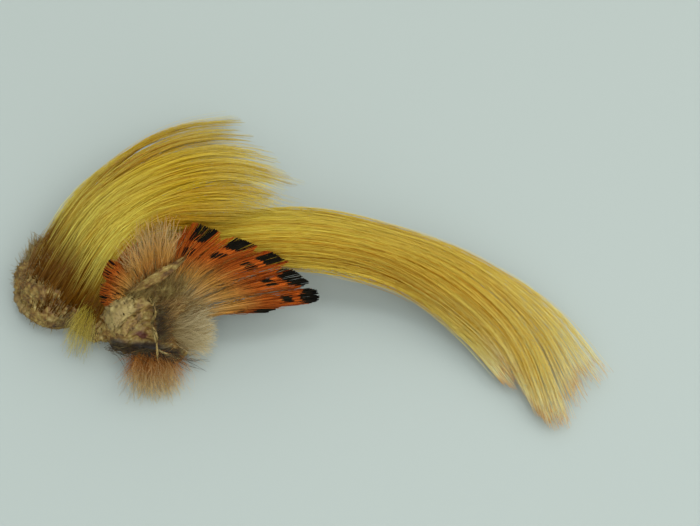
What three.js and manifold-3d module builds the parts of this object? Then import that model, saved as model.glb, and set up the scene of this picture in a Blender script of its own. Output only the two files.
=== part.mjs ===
// A golden pheasant's crest, cut off with the strip of head skin that it grows from.
// The skin is dried hard. It carries the silky crest feathers, which rise from the forehead as a short
// front fan and sweep back as a long curved brush, a rosette of barred tippet feathers at the nape, and
// tufts of down. The crest lies as it fell: on the skin's underside, the far edge of the front fan and the
// tips of the brush.
//
// Millimetres. +X runs back along the crest to its long tips, +Y points away from the tippets, and +Z is up.
// The origin is on the resting surface, in the middle of the footprint.

import * as THREE from "three";
import { mergeVertices } from "three/addons/utils/BufferGeometryUtils.js";
import Module from "manifold-3d";

const wasm = await Module();
wasm.setup();

// Where the middle of the footprint lies in the layout that the points below are written in.
const FOOTPRINT_MIDDLE = new THREE.Vector3(-0.6, 1.3, 0);

// Clear space between a quill and the skin that it grows from.
const QUILL_GAP = 0.35;

// Guide feathers of the front fan, root to tip, from its far edge to the edge beside the tippets.
const FRONT_GUIDES = [
  [[-54.5, -1, 7], [-49.5, 10.8, 9.5], [-41, 24.2, 8.2], [-29.5, 37.2, 4], [-16, 44.8, -0.2]],
  [[-52, -4.5, 8], [-44, 5.5, 14.5], [-33.5, 17, 15], [-20.5, 25.9, 11.5], [-8, 29.8, 6]],
  [[-49.5, -7, 8], [-40.5, 0.5, 17.5], [-29.5, 9, 18.5], [-15.5, 15.5, 15.5], [-2, 17, 9.5]],
  [[-47, -9.5, 9], [-37.5, -4, 19], [-26.5, 2.5, 20.5], [-14, 7.5, 18], [-2, 10, 12]],
  [[-45, -12, 8], [-37.5, -8, 17.5], [-29, -3.5, 22], [-18, 0, 21], [-4, 4, 15]],
];

// Guide feathers of the long brush, root to tip, from its outer edge to the inside of its bend.
const LONG_GUIDES = [
  [
    [-46, 0.5, 7.5], [-32, 0.5, 13], [-16, 3, 14], [0, 6.5, 11.5],
    [19, 3.5, 8.5], [33.5, -1.5, 6.2], [49.5, -12.5, 3.8], [61, -30, 1.9],
  ],
  [
    [-44.5, -3.5, 8], [-32, -4, 14], [-17, -1.5, 16], [0, 1, 14],
    [17, -1, 11], [32, -6, 8.2], [46, -17.2, 4.3], [55, -36.5, 1.8],
  ],
  [
    [-43.5, -6.5, 8], [-31.5, -7, 14.5], [-17.5, -5.5, 16.5], [-1.5, -3, 15],
    [15.5, -4.5, 12], [29.5, -10.5, 9.2], [41.5, -22, 4.8], [47.5, -40.5, 1.8],
  ],
  [
    [-43, -9, 7.5], [-31.5, -9.5, 13.5], [-17.5, -9, 15], [-2.5, -7, 13],
    [11, -7.2, 10.5], [24, -12.5, 7.5], [36, -22.8, 4.1], [43, -34, 1.8],
  ],
  [
    [-42.5, -11, 7], [-31.5, -11.5, 11.5], [-17.5, -11, 12], [-4, -8.5, 9.5],
    [6.5, -9, 8], [18.5, -11, 6], [30.5, -20.5, 3.5], [39, -31.5, 1.8],
  ],
];

// Guide feathers of the tippet rosette, root to tip, from beside the forehead round to under the long brush.
const TIPPET_GUIDES = [
  [[-33.5, -18.5, 9.5], [-38, -19.8, 12], [-42, -19.5, 12.5]],
  [[-32.5, -17.5, 11], [-37, -15.8, 15.5], [-41, -14, 17]],
  [[-31, -17, 11.5], [-33.8, -13.2, 17.5], [-36.5, -8.8, 21]],
  [[-29.5, -16.5, 11.5], [-30, -12.2, 18.5], [-30.5, -4.8, 25]],
  [[-28, -16.5, 11], [-24.5, -12.5, 18.7], [-19.5, -7, 22]],
  [[-26.5, -17, 10], [-19, -13.3, 17], [-9.3, -9.2, 18.5]],
  [[-25.5, -17.5, 9], [-15, -15.3, 13], [-1.5, -11, 13.4]],
  [[-25, -18.5, 7.5], [-14, -17.5, 9.5], [3.5, -13.8, 8]],
  [[-25, -19.2, 7], [-17.5, -18.9, 8], [-8, -17.6, 6.2]],
];

// Each layer of feathers on its guides' surface: how many lie side by side, what share of its pitch a
// feather leaves clear at each side, its length and the ends of its locks as shares of the guides, how much
// it narrows to the tip, its thickness, how far the layer lies below the surface, and its rows of facets.
const FRONT_LAYER = {
  count: 9, clear: 0.09, length: 1, narrowing: 0.25, thickness: 1.3, drop: 0, rows: 9,
  locks: [0.92, 0.99, 0.9, 0.96],
};
const FRONT_UNDERLAYER = { ...FRONT_LAYER, count: 6, length: 0.9, narrowing: 0.15, drop: 2.1, rows: 8 };
const LONG_LAYER = {
  count: 8, clear: 0.15, length: 1, narrowing: 0.15, thickness: 1.3, drop: 0, rows: 10,
  locks: [0.95, 0.99, 0.94, 0.98],
};
const LONG_UNDERLAYER = { ...LONG_LAYER, count: 5, clear: 0.18, length: 0.93, narrowing: 0.1, drop: 2.1 };
const TIPPET_LAYER = {
  count: 11, clear: 0.1, length: 0.98, narrowing: 0, thickness: 0.7, drop: 0, rows: 6,
  locks: [0.97, 1, 0.98],
};
const TIPPET_UNDERLAYER = { ...TIPPET_LAYER, count: 7, drop: 1.5 };

// The down under the middle of the rosette is one soft blade, from and to these places across the guides.
const NAPE_DOWN = {
  from: 0.2, to: 0.62, ends: [0.77, 0.85, 0.75, 0.83, 0.73, 0.85, 0.77, 0.82, 0.75],
  narrowing: 0, thickness: 1, drop: 3, rows: 5,
};

// A blade is this thick at its edges, and swells between these shares of one arch from quill to tip.
const BLADE_EDGE = 0.3;
const SWELL_START = 0.15;
const SWELL_END = 0.9;

// How much the ends of locks differ, as a share of a feather's length.
const LOCK_SCATTER = 0.02;

// The step, as a share of a surface, over which its slope is taken.
const SLOPE_STEP = 0.01;

// The skin's lumps: the forehead, the bridge beside the crown, the parchment flap, the crumpled nape, the
// ridge of nape skin that the tippets grow from, and what joins that ridge to the nape.
const SKIN_LUMPS = [
  { centre: [-50.5, -6, 3], radii: [10, 11, 7.5], turn: 0, steps: [22, 14] },
  { centre: [-43, -15.5, 3.5], radii: [6.5, 5, 4.5], turn: -0.5, steps: [14, 9] },
  { centre: [-36, -20, 5.5], radii: [5.2, 4.4, 6.2], turn: 0.4, steps: [14, 9] },
  { centre: [-29.8, -22, 4], radii: [6.2, 4.8, 5.2], turn: -0.2, steps: [14, 9] },
  { centre: [-29.5, -17.8, 10], radii: [6.8, 2.6, 2.6], turn: 0.15, steps: [14, 9] },
  { centre: [-30, -19, 6], radii: [6, 3.5, 5], turn: 0, steps: [12, 8] },
];

// The skin's wrinkles: their height as a share of a lump's radius, and how many radians of wave run over one
// radius lengthwise, crosswise, upwards and slantwise.
const WRINKLE_HEIGHT = 0.035;
const WRINKLE_WAVES = { length: 5, width: 4, height: 7, slant: 6 };

// A block wide and deep enough to take away all of the skin below the resting surface.
const CUT_WIDTH = 200;
const CUT_DEPTH = 40;

// Tufts of down, each a burst of locks from its root on the skin to its spread tips.
const SIDE_TUFT = { root: [-26, -20.5, 5], tip: [-18.5, -22.5, 4], spread: 4.4, locks: 9 };
const THROAT_TUFT = { root: [-31, -24, 3], tip: [-30, -35, 2.6], spread: 5.2, locks: 11 };
const BROW_TUFT = { root: [-41.5, -17.5, 4.5], tip: [-46, -25.5, 2.4], spread: 2.7, locks: 7 };

// A tuft's rings, root to tip: place along the tuft, radius as a share of its spread, and how deep its edge
// is split into locks. The mouth is hollow down to a share of the length, and the tuft is flattened.
const TUFT_RINGS = [
  { place: 0, radius: 0.3, split: 0 },
  { place: 0.5, radius: 0.85, split: 0 },
  { place: 0.9, radius: 1, split: 0.18 },
];
const TUFT_MOUTH = 0.6;
const TUFT_FLATNESS = 0.45;
const TUFT_SCATTER = 0.3;

const MATERIALS = {
  skin: new THREE.MeshStandardMaterial({ color: 0x9a7c4c, roughness: 0.75, metalness: 0 }),
  crest: new THREE.MeshStandardMaterial({ color: 0xc29a2b, roughness: 0.4, metalness: 0 }),
  tippet: new THREE.MeshStandardMaterial({ color: 0xc3652b, roughness: 0.5, metalness: 0 }),
  buffDown: new THREE.MeshStandardMaterial({ color: 0xb29a78, roughness: 0.8, metalness: 0 }),
  orangeDown: new THREE.MeshStandardMaterial({ color: 0xb9824a, roughness: 0.8, metalness: 0 }),
  yellowDown: new THREE.MeshStandardMaterial({ color: 0xb8a545, roughness: 0.8, metalness: 0 }),
};

const vector = (values) => new THREE.Vector3(...values);

/** A fixed scatter between -1 and 1 for a whole number. */
const scatter = (seed) => 2 * THREE.MathUtils.seededRandom(seed) - 1;

/** A closed mesh as a solid that can be cut and joined. */
function solidOf(geometry) {
  const bare = new THREE.BufferGeometry()
    .setAttribute("position", geometry.getAttribute("position"))
    .setIndex(geometry.index);
  const merged = mergeVertices(bare, 1e-4);
  return new wasm.Manifold(
    new wasm.Mesh({
      numProp: 3,
      vertProperties: merged.getAttribute("position").array,
      triVerts: new Uint32Array(merged.index.array),
    }),
  );
}

/** A solid back as a mesh geometry. */
function geometryOf(solid) {
  const mesh = solid.getMesh();
  return new THREE.BufferGeometry()
    .setAttribute("position", new THREE.BufferAttribute(new Float32Array(mesh.vertProperties), 3))
    .setIndex(new THREE.BufferAttribute(mesh.triVerts, 1));
}

/** The largest piece that is left of a solid after a cut. */
function largestPiece(solid) {
  return solid.decompose().reduce((best, piece) => (piece.volume() > best.volume() ? piece : best));
}

/** The volume inside a closed mesh, below zero where its faces point inwards. */
function signedVolume(points, triangles) {
  let volume = 0;
  for (let i = 0; i < triangles.length; i += 3) {
    const [a, b, c] = [0, 1, 2].map((corner) => points[triangles[i + corner]]);
    volume += a.dot(new THREE.Vector3().crossVectors(b, c)) / 6;
  }
  return volume;
}

/** A closed geometry from its points and quads, with its faces outwards. */
function closedGeometry(points, quads) {
  const triangles = quads.flatMap(([a, b, c, d]) => [a, b, c, a, c, d]);
  if (signedVolume(points, triangles) < 0) triangles.reverse();
  const positions = new Float32Array(points.flatMap((point) => point.toArray()));
  return new THREE.BufferGeometry()
    .setAttribute("position", new THREE.BufferAttribute(positions, 3))
    .setIndex(triangles);
}

/** The surface through guide feathers: across runs 0 to 1 over the guides, along runs 0 to 1 root to tip. */
function surfaceThrough(guides) {
  const curves = guides.map((points) => new THREE.CatmullRomCurve3(points.map(vector)));
  const pointAt = (across, along) =>
    new THREE.CatmullRomCurve3(curves.map((curve) => curve.getPointAt(along))).getPoint(across);
  return (across, along) => {
    const [low, high] = [Math.max(0, along - SLOPE_STEP), Math.min(1, along + SLOPE_STEP)];
    const [near, far] = [Math.max(0, across - SLOPE_STEP), Math.min(1, across + SLOPE_STEP)];
    const lengthwise = pointAt(across, high).sub(pointAt(across, low));
    const sideways = pointAt(far, along).sub(pointAt(near, along));
    const normal = lengthwise.cross(sideways).normalize();
    if (normal.z < 0) normal.negate();
    return { point: pointAt(across, along), normal };
  };
}

/**
 * A feather's blade as a closed solid on a surface. Its section is a lens, its columns run root to tip, and
 * each column has its own end, so that the tip splits into locks.
 */
function bladeGeometry(surface, { from, to, ends, rows, thickness, drop, narrowing }) {
  const columns = ends.length - 1;
  const middle = (from + to) / 2;
  const points = [];
  for (const side of [1, -1]) {
    for (let row = 0; row <= rows; row++) {
      const share = row / rows;
      const width = (to - from) * (1 - narrowing * share * share);
      const swell = Math.sin(Math.PI * THREE.MathUtils.lerp(SWELL_START, SWELL_END, share));
      for (let column = 0; column <= columns; column++) {
        const place = column / columns;
        const { point, normal } = surface(middle + width * (place - 0.5), ends[column] * share);
        const lens = Math.sin(Math.PI * place) * swell;
        const half = THREE.MathUtils.lerp(BLADE_EDGE, thickness, lens) / 2;
        points.push(point.addScaledVector(normal, side * half - drop));
      }
    }
  }
  const at = (side, row, column) => (side * (rows + 1) + row) * (columns + 1) + column;
  const quads = [];
  for (let row = 0; row < rows; row++) {
    const next = row + 1;
    for (let column = 0; column < columns; column++) {
      quads.push([at(0, row, column), at(0, row, column + 1), at(0, next, column + 1), at(0, next, column)]);
      quads.push([at(1, row, column), at(1, next, column), at(1, next, column + 1), at(1, row, column + 1)]);
    }
    quads.push([at(0, row, 0), at(0, next, 0), at(1, next, 0), at(1, row, 0)]);
    quads.push([at(0, row, columns), at(1, row, columns), at(1, next, columns), at(0, next, columns)]);
  }
  for (let column = 0; column < columns; column++) {
    const next = column + 1;
    quads.push([at(0, 0, column), at(1, 0, column), at(1, 0, next), at(0, 0, next)]);
    quads.push([at(0, rows, column), at(0, rows, next), at(1, rows, next), at(1, rows, column)]);
  }
  return closedGeometry(points, quads);
}

/** A lump of dried skin: an ellipsoid whose surface is wrinkled, grown outwards by a clearance. */
function lumpGeometry({ centre, radii, turn, steps }, grow) {
  const geometry = new THREE.SphereGeometry(1, ...steps);
  const position = geometry.getAttribute("position");
  const waves = WRINKLE_WAVES;
  const point = new THREE.Vector3();
  for (let i = 0; i < position.count; i++) {
    const { x, y, z } = point.fromBufferAttribute(position, i);
    const folds = Math.sin(waves.length * x + centre[0]) * Math.cos(waves.width * y);
    const creases = Math.sin(waves.height * z + waves.slant * y);
    point.multiply(vector(radii).addScalar(grow)).multiplyScalar(1 + WRINKLE_HEIGHT * (folds + creases));
    position.setXYZ(i, ...point);
  }
  return geometry.rotateZ(turn).translate(...centre);
}

/** The whole strip of head skin, its lumps joined. */
function skinSolid(grow) {
  return SKIN_LUMPS.map((lump) => solidOf(lumpGeometry(lump, grow))).reduce((whole, lump) => whole.add(lump));
}

/** A tuft of down: a flattened cone that opens from its root into pointed locks round a hollow mouth. */
function tuftGeometry({ root, tip, spread, locks }) {
  const start = vector(root);
  const axis = vector(tip).sub(start);
  const sideways = new THREE.Vector3(-axis.y, axis.x, 0).normalize();
  const upward = new THREE.Vector3().crossVectors(axis, sideways).normalize();
  const count = 2 * locks;
  const pointAt = (place, radius, angle) =>
    start
      .clone()
      .addScaledVector(axis, place)
      .addScaledVector(sideways, radius * Math.cos(angle))
      .addScaledVector(upward, radius * TUFT_FLATNESS * Math.sin(angle));
  const points = TUFT_RINGS.flatMap(({ place, radius, split }) =>
    Array.from({ length: count }, (_, i) => {
      const reach = i % 2 ? -split : split * TUFT_SCATTER * scatter(i);
      return pointAt(place + reach, radius * spread, (2 * Math.PI * i) / count);
    }),
  );
  const rootCentre = points.push(start) - 1;
  const mouthCentre = points.push(pointAt(TUFT_MOUTH, 0, 0)) - 1;
  const lastRing = (TUFT_RINGS.length - 1) * count;
  const quads = [];
  for (let i = 0; i < count; i += 2) {
    const [middle, next] = [i + 1, (i + 2) % count];
    for (let low = 0; low < lastRing; low += count) {
      const high = low + count;
      quads.push([low + i, low + middle, high + middle, high + i]);
      quads.push([low + middle, low + next, high + next, high + middle]);
    }
    quads.push([rootCentre, next, middle, i]);
    quads.push([mouthCentre, lastRing + i, lastRing + middle, lastRing + next]);
  }
  return closedGeometry(points, quads);
}

const skinWithClearance = skinSolid(QUILL_GAP);
const crest = new THREE.Group();

function addPiece(name, geometry, material) {
  const mesh = new THREE.Mesh(geometry, material);
  mesh.name = name;
  crest.add(mesh);
}

/** A piece that grows from the skin, trimmed to the skin's surface. */
function addGrowing(name, geometry, material) {
  addPiece(name, geometryOf(largestPiece(solidOf(geometry).subtract(skinWithClearance))), material);
}

/** One layer of feathers side by side across a surface, with a gap between neighbours. */
function addLayer(name, surface, { count, clear, length, locks, ...blade }, material) {
  const pitch = 1 / count;
  for (let i = 0; i < count; i++) {
    const ends = locks.map((lock, column) => {
      const stray = LOCK_SCATTER * scatter(i * locks.length + column);
      return Math.min(1, length * (lock + stray));
    });
    const edges = { from: pitch * (i + clear), to: pitch * (i + 1 - clear) };
    const number = String(i + 1).padStart(2, "0");
    addGrowing(`${name}_${number}`, bladeGeometry(surface, { ...blade, ...edges, ends }), material);
  }
}

// The head skin, cut off flat where it rests
const underground = new THREE.BoxGeometry(CUT_WIDTH, CUT_WIDTH, CUT_DEPTH).translate(0, 0, -CUT_DEPTH / 2);
addPiece("head_skin", geometryOf(largestPiece(skinSolid(0).subtract(solidOf(underground)))), MATERIALS.skin);

// The front fan of the crest, in two layers
const frontSurface = surfaceThrough(FRONT_GUIDES);
addLayer("front_crest_feather", frontSurface, FRONT_LAYER, MATERIALS.crest);
addLayer("front_crest_underfeather", frontSurface, FRONT_UNDERLAYER, MATERIALS.crest);

// The long brush of the crest, in two layers
const longSurface = surfaceThrough(LONG_GUIDES);
addLayer("long_crest_feather", longSurface, LONG_LAYER, MATERIALS.crest);
addLayer("long_crest_underfeather", longSurface, LONG_UNDERLAYER, MATERIALS.crest);

// The tippet rosette: barred feathers in two layers, with the nape's down beneath them
const tippetSurface = surfaceThrough(TIPPET_GUIDES);
addLayer("tippet_feather", tippetSurface, TIPPET_LAYER, MATERIALS.tippet);
addLayer("tippet_underfeather", tippetSurface, TIPPET_UNDERLAYER, MATERIALS.tippet);
addGrowing("nape_down", bladeGeometry(tippetSurface, NAPE_DOWN), MATERIALS.buffDown);

// The loose tufts of down round the skin's near edge
addGrowing("side_down_tuft", tuftGeometry(SIDE_TUFT), MATERIALS.buffDown);
addGrowing("throat_down_tuft", tuftGeometry(THROAT_TUFT), MATERIALS.orangeDown);
addGrowing("brow_down_tuft", tuftGeometry(BROW_TUFT), MATERIALS.yellowDown);

crest.position.copy(FOOTPRINT_MIDDLE).negate();

export default crest;
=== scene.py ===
"""A golden pheasant's crest on its strip of dried head skin: silky barbs, barred tippets and down.

Shapes are laid out in millimetres, in the layout that the guide feathers are written in, and each mesh is
made in metres in the model's own frame.
"""

import logging
import math
from collections.abc import Iterable, Sequence
from dataclasses import dataclass, field
from enum import Enum

import bpy
import numpy as np
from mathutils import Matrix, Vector, noise
from mathutils.bvhtree import BVHTree

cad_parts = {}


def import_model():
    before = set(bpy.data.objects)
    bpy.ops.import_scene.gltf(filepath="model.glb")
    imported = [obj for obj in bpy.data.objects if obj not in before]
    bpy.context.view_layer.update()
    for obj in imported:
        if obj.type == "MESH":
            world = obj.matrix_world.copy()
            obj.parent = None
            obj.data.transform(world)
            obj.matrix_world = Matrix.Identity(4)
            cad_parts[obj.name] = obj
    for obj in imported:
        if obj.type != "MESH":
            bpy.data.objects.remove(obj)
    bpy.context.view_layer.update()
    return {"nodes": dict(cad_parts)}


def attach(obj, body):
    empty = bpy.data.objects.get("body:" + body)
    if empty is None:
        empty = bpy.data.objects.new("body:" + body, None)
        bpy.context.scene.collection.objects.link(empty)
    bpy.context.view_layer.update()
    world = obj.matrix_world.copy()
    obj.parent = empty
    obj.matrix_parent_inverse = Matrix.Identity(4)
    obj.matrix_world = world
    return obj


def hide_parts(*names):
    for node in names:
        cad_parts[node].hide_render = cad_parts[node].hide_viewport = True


LOG = logging.getLogger("crest")
Array = np.ndarray
Random = np.random.Generator
Point = tuple[float, float, float]
Span = tuple[float, float]
Stops = tuple[tuple[float, str], ...]

MM = 0.001
TINY = 1e-9
UP = (0.0, 0.0, 1.0)
KERATIN_IOR = 1.55
SKIN_IOR = 1.5

# The numbers of a Mix node's sockets for colours.
MIX_FACTOR, MIX_UNDER, MIX_OVER, MIX_RESULT = 0, 6, 7, 2

# Where the middle of the footprint lies in the layout.
FOOTPRINT_MIDDLE = np.array((-0.6, 1.3, 0.0))

# Guide feathers, root to tip: the front fan from its far edge, the long brush from its outer edge, and the
# tippet rosette from beside the forehead round to under the brush.
FRONT_GUIDES = (
    ((-54.5, -1, 7), (-49.5, 10.8, 9.5), (-41, 24.2, 8.2), (-29.5, 37.2, 4), (-16, 44.8, -0.2)),
    ((-52, -4.5, 8), (-44, 5.5, 14.5), (-33.5, 17, 15), (-20.5, 25.9, 11.5), (-8, 29.8, 6)),
    ((-49.5, -7, 8), (-40.5, 0.5, 17.5), (-29.5, 9, 18.5), (-15.5, 15.5, 15.5), (-2, 17, 9.5)),
    ((-47, -9.5, 9), (-37.5, -4, 19), (-26.5, 2.5, 20.5), (-14, 7.5, 18), (-2, 10, 12)),
    ((-45, -12, 8), (-37.5, -8, 17.5), (-29, -3.5, 22), (-18, 0, 21), (-4, 4, 15)),
)
LONG_GUIDES = (
    ((-46, 0.5, 7.5), (-32, 0.5, 13), (-16, 3, 14), (0, 6.5, 11.5),
     (19, 3.5, 8.5), (33.5, -1.5, 6.2), (49.5, -12.5, 3.8), (61, -30, 1.9)),
    ((-44.5, -3.5, 8), (-32, -4, 14), (-17, -1.5, 16), (0, 1, 14),
     (17, -1, 11), (32, -6, 8.2), (46, -17.2, 4.3), (55, -36.5, 1.8)),
    ((-43.5, -6.5, 8), (-31.5, -7, 14.5), (-17.5, -5.5, 16.5), (-1.5, -3, 15),
     (15.5, -4.5, 12), (29.5, -10.5, 9.2), (41.5, -22, 4.8), (47.5, -40.5, 1.8)),
    ((-43, -9, 7.5), (-31.5, -9.5, 13.5), (-17.5, -9, 15), (-2.5, -7, 13),
     (11, -7.2, 10.5), (24, -12.5, 7.5), (36, -22.8, 4.1), (43, -34, 1.8)),
    ((-42.5, -11, 7), (-31.5, -11.5, 11.5), (-17.5, -11, 12), (-4, -8.5, 9.5),
     (6.5, -9, 8), (18.5, -11, 6), (30.5, -20.5, 3.5), (39, -31.5, 1.8)),
)
TIPPET_GUIDES = (
    ((-33.5, -18.5, 9.5), (-38, -19.8, 12), (-42, -19.5, 12.5)),
    ((-32.5, -17.5, 11), (-37, -15.8, 15.5), (-41, -14, 17)),
    ((-31, -17, 11.5), (-33.8, -13.2, 17.5), (-36.5, -8.8, 21)),
    ((-29.5, -16.5, 11.5), (-30, -12.2, 18.5), (-30.5, -4.8, 25)),
    ((-28, -16.5, 11), (-24.5, -12.5, 18.7), (-19.5, -7, 22)),
    ((-26.5, -17, 10), (-19, -13.3, 17), (-9.3, -9.2, 18.5)),
    ((-25.5, -17.5, 9), (-15, -15.3, 13), (-1.5, -11, 13.4)),
    ((-25, -18.5, 7.5), (-14, -17.5, 9.5), (3.5, -13.8, 8)),
    ((-25, -19.2, 7), (-17.5, -18.9, 8), (-8, -17.6, 6.2)),
)


class Slot(Enum):
    """The record's material slots."""

    SKIN = "dried_skin"
    CREST = "crest_gold"
    TIPPET = "tippet_orange"
    BUFF = "buff_down"
    ORANGE = "orange_down"
    YELLOW = "yellow_down"


class Trait(Enum):
    """What the points of a mesh carry for the materials to read."""

    ALONG = "along"
    TONE = "tone"
    FROM_TIP = "from_tip"
    PARCHMENT = "parchment"
    # Painted shade in hollows and folds, and the dark colour of some hairs and stubs.
    DARK_AND_SHADE = "dark_and_shade"
    BLOOD = "blood"


class Plumage(Enum):
    """What a tippet's vane is like."""

    BARRED = "orange with dark bars"
    FLECKED = "orange with thin dark flecks"
    PLAIN = "orange without bars"
    BUFF = "buff without bars"
    DARK = "dark red with bars"
    DOWNY = "buff down with dark flecks"


def linear(colour: str) -> tuple[float, float, float, float]:
    """The linear colour, with full alpha, of an sRGB hex value."""
    parts = [int(colour[k : k + 2], 16) / 255 for k in (1, 3, 5)]
    return (*(c / 12.92 if c <= 0.04045 else ((c + 0.055) / 1.055) ** 2.4 for c in parts), 1.0)


def unit(vectors: Array) -> Array:
    """The vectors, each with a length of one."""
    return vectors / np.maximum(np.linalg.norm(vectors, axis=-1, keepdims=True), TINY)


def ease(values: Array, start: float, end: float) -> Array:
    """A smooth rise from 0 at start to 1 at end."""
    share = np.clip((values - start) / (end - start), 0, 1)
    return share * share * (3 - 2 * share)


def spline(points: Array, places: Array) -> Array:
    """A centripetal Catmull-Rom curve.

    Args:
        points: The points that it passes through, one a row.
        places: Where to read it, from 0 at the first point to 1 at the last.

    Returns:
        One point for each place.
    """
    ends = np.vstack((2 * points[0] - points[1], points, 2 * points[-1] - points[-2]))
    spans = np.sqrt(np.linalg.norm(np.diff(ends, axis=0), axis=1))
    scaled = np.asarray(places) * (len(points) - 1)
    cell = np.clip(scaled.astype(int), 0, len(points) - 2)
    t = (scaled - cell)[:, None]
    p0, p1, p2, p3 = (ends[cell + k] for k in range(4))
    d0, d1, d2 = (spans[cell + k][:, None] for k in range(3))
    leave = ((p1 - p0) / d0 - (p2 - p0) / (d0 + d1) + (p2 - p1) / d1) * d1
    reach = ((p2 - p1) / d1 - (p3 - p1) / (d1 + d2) + (p3 - p2) / d2) * d1
    square, cube = t * t, t * t * t
    return (
        (2 * cube - 3 * square + 1) * p1
        + (cube - 2 * square + t) * leave
        + (3 * square - 2 * cube) * p2
        + (cube - square) * reach
    )


def waves(rng: Random, count: int, cycles: Span, share: Array) -> Array:
    """Sine waves along strands.

    Args:
        rng: Random draws.
        count: How many strands there are.
        cycles: The fewest and the most cycles along a strand.
        share: How far each step is from the root, 0 to 1.

    Returns:
        Heights from -1 to 1, strands by steps.
    """
    turn = rng.uniform(*cycles, count)[:, None] * share + rng.random(count)[:, None]
    return np.sin(2 * np.pi * turn)


def tapered(rng: Random, count: int, radius: float, taper: Array, vary: float = 0.3) -> Array:
    """Radii of strands, by steps, that vary by a share from strand to strand and thin by the taper."""
    return radius * rng.uniform(1 - vary, 1 + vary, count)[:, None] * (1 - taper)


def add_node(
    tree: bpy.types.NodeTree,
    kind: str,
    inputs: dict[str | int, object] | None = None,
    stops: Stops = (),
    **settings: object,
) -> bpy.types.Node:
    """Adds a node with its settings and links.

    Args:
        tree: The tree that it goes in.
        kind: The node's type name.
        inputs: For each input, by name or number, the socket that feeds it or the value that it holds.
        stops: Places and colours of a colour ramp.
        settings: The node's own properties.

    Returns:
        The node.
    """
    node = tree.nodes.new(kind)
    for key, value in settings.items():
        setattr(node, key, value)
    for key, value in (inputs or {}).items():
        if isinstance(value, bpy.types.NodeSocket):
            tree.links.new(value, node.inputs[key])
        else:
            node.inputs[key].default_value = value
    if stops:
        elements = node.color_ramp.elements
        while len(elements) < len(stops):
            elements.new(1.0)
        for element, (place, colour) in zip(elements, stops):
            element.position = place
            element.color = linear(colour)
    return node


def new_material(name: str) -> tuple[bpy.types.Material, bpy.types.NodeTree, bpy.types.Node]:
    """An empty material.

    Args:
        name: What the material is called.

    Returns:
        The material, its node tree, and the output node to link a shader to.
    """
    material = bpy.data.materials.new(name)
    material.use_nodes = True
    material.node_tree.nodes.clear()
    return material, material.node_tree, add_node(material.node_tree, "ShaderNodeOutputMaterial")


def trait_socket(tree: bpy.types.NodeTree, trait: Trait) -> bpy.types.NodeSocket:
    """The socket in a tree that reads one trait of the mesh's points."""
    return add_node(tree, "ShaderNodeAttribute", attribute_name=trait.value).outputs["Fac"]


@dataclass(frozen=True)
class BarbFinish:
    """Feather barbs: keratin fibres with the pigment inside, which shine along their length like silk.

    Each barb takes a colour between a deep and a pale run of colours from root to tip, so that neighbours
    differ and the feather looks streaked. The gloss is that of smooth keratin. Some light passes through and
    warms the shaded side. Bars are placed by the distance to the tip, as shares of a reach in millimetres.
    """

    name: str
    deep: Stops
    pale: Stops
    roughness: float
    specular: float = 0.5
    tint: str = "#ffe9a0"
    glow: float = 0.25
    bars: Stops = ()
    bar_colour: str = "#08080c"
    bar_reach: float = 10.0

    def build(self) -> bpy.types.Material:
        """Makes the material.

        Returns:
            The new material.
        """
        material, tree, output = new_material(self.name)
        along = trait_socket(tree, Trait.ALONG)
        deep, pale = (
            add_node(tree, "ShaderNodeValToRGB", {"Fac": along}, stops).outputs["Color"]
            for stops in (self.deep, self.pale)
        )
        inputs = {MIX_FACTOR: trait_socket(tree, Trait.TONE), MIX_UNDER: deep, MIX_OVER: pale}
        colour = add_node(tree, "ShaderNodeMix", inputs, data_type="RGBA").outputs[MIX_RESULT]
        if self.bars:
            colour = self.barred(tree, colour)
        shader = add_node(
            tree,
            "ShaderNodeBsdfPrincipled",
            {
                "Base Color": colour,
                "Roughness": self.roughness,
                "IOR": KERATIN_IOR,
                "Specular IOR Level": self.specular,
                "Specular Tint": linear(self.tint),
            },
        )
        through = add_node(tree, "ShaderNodeBsdfTranslucent", {"Color": colour})
        inputs = {0: self.glow, 1: shader.outputs["BSDF"], 2: through.outputs["BSDF"]}
        both = add_node(tree, "ShaderNodeMixShader", inputs)
        tree.links.new(both.outputs["Shader"], output.inputs["Surface"])
        return material

    def barred(self, tree: bpy.types.NodeTree, colour: bpy.types.NodeSocket) -> bpy.types.NodeSocket:
        """Lays the dark bars over a colour, by how far from the feather's tip each point is.

        Args:
            tree: The material's nodes.
            colour: The colour without bars.

        Returns:
            The barred colour.
        """
        inputs = {0: trait_socket(tree, Trait.FROM_TIP), 1: self.bar_reach}
        share = add_node(tree, "ShaderNodeMath", inputs, operation="DIVIDE")
        bar = add_node(tree, "ShaderNodeValToRGB", {"Fac": share.outputs[0]}, self.bars)
        inputs = {MIX_FACTOR: bar.outputs["Color"], MIX_UNDER: colour, MIX_OVER: linear(self.bar_colour)}
        return add_node(tree, "ShaderNodeMix", inputs, data_type="RGBA").outputs[MIX_RESULT]


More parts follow.
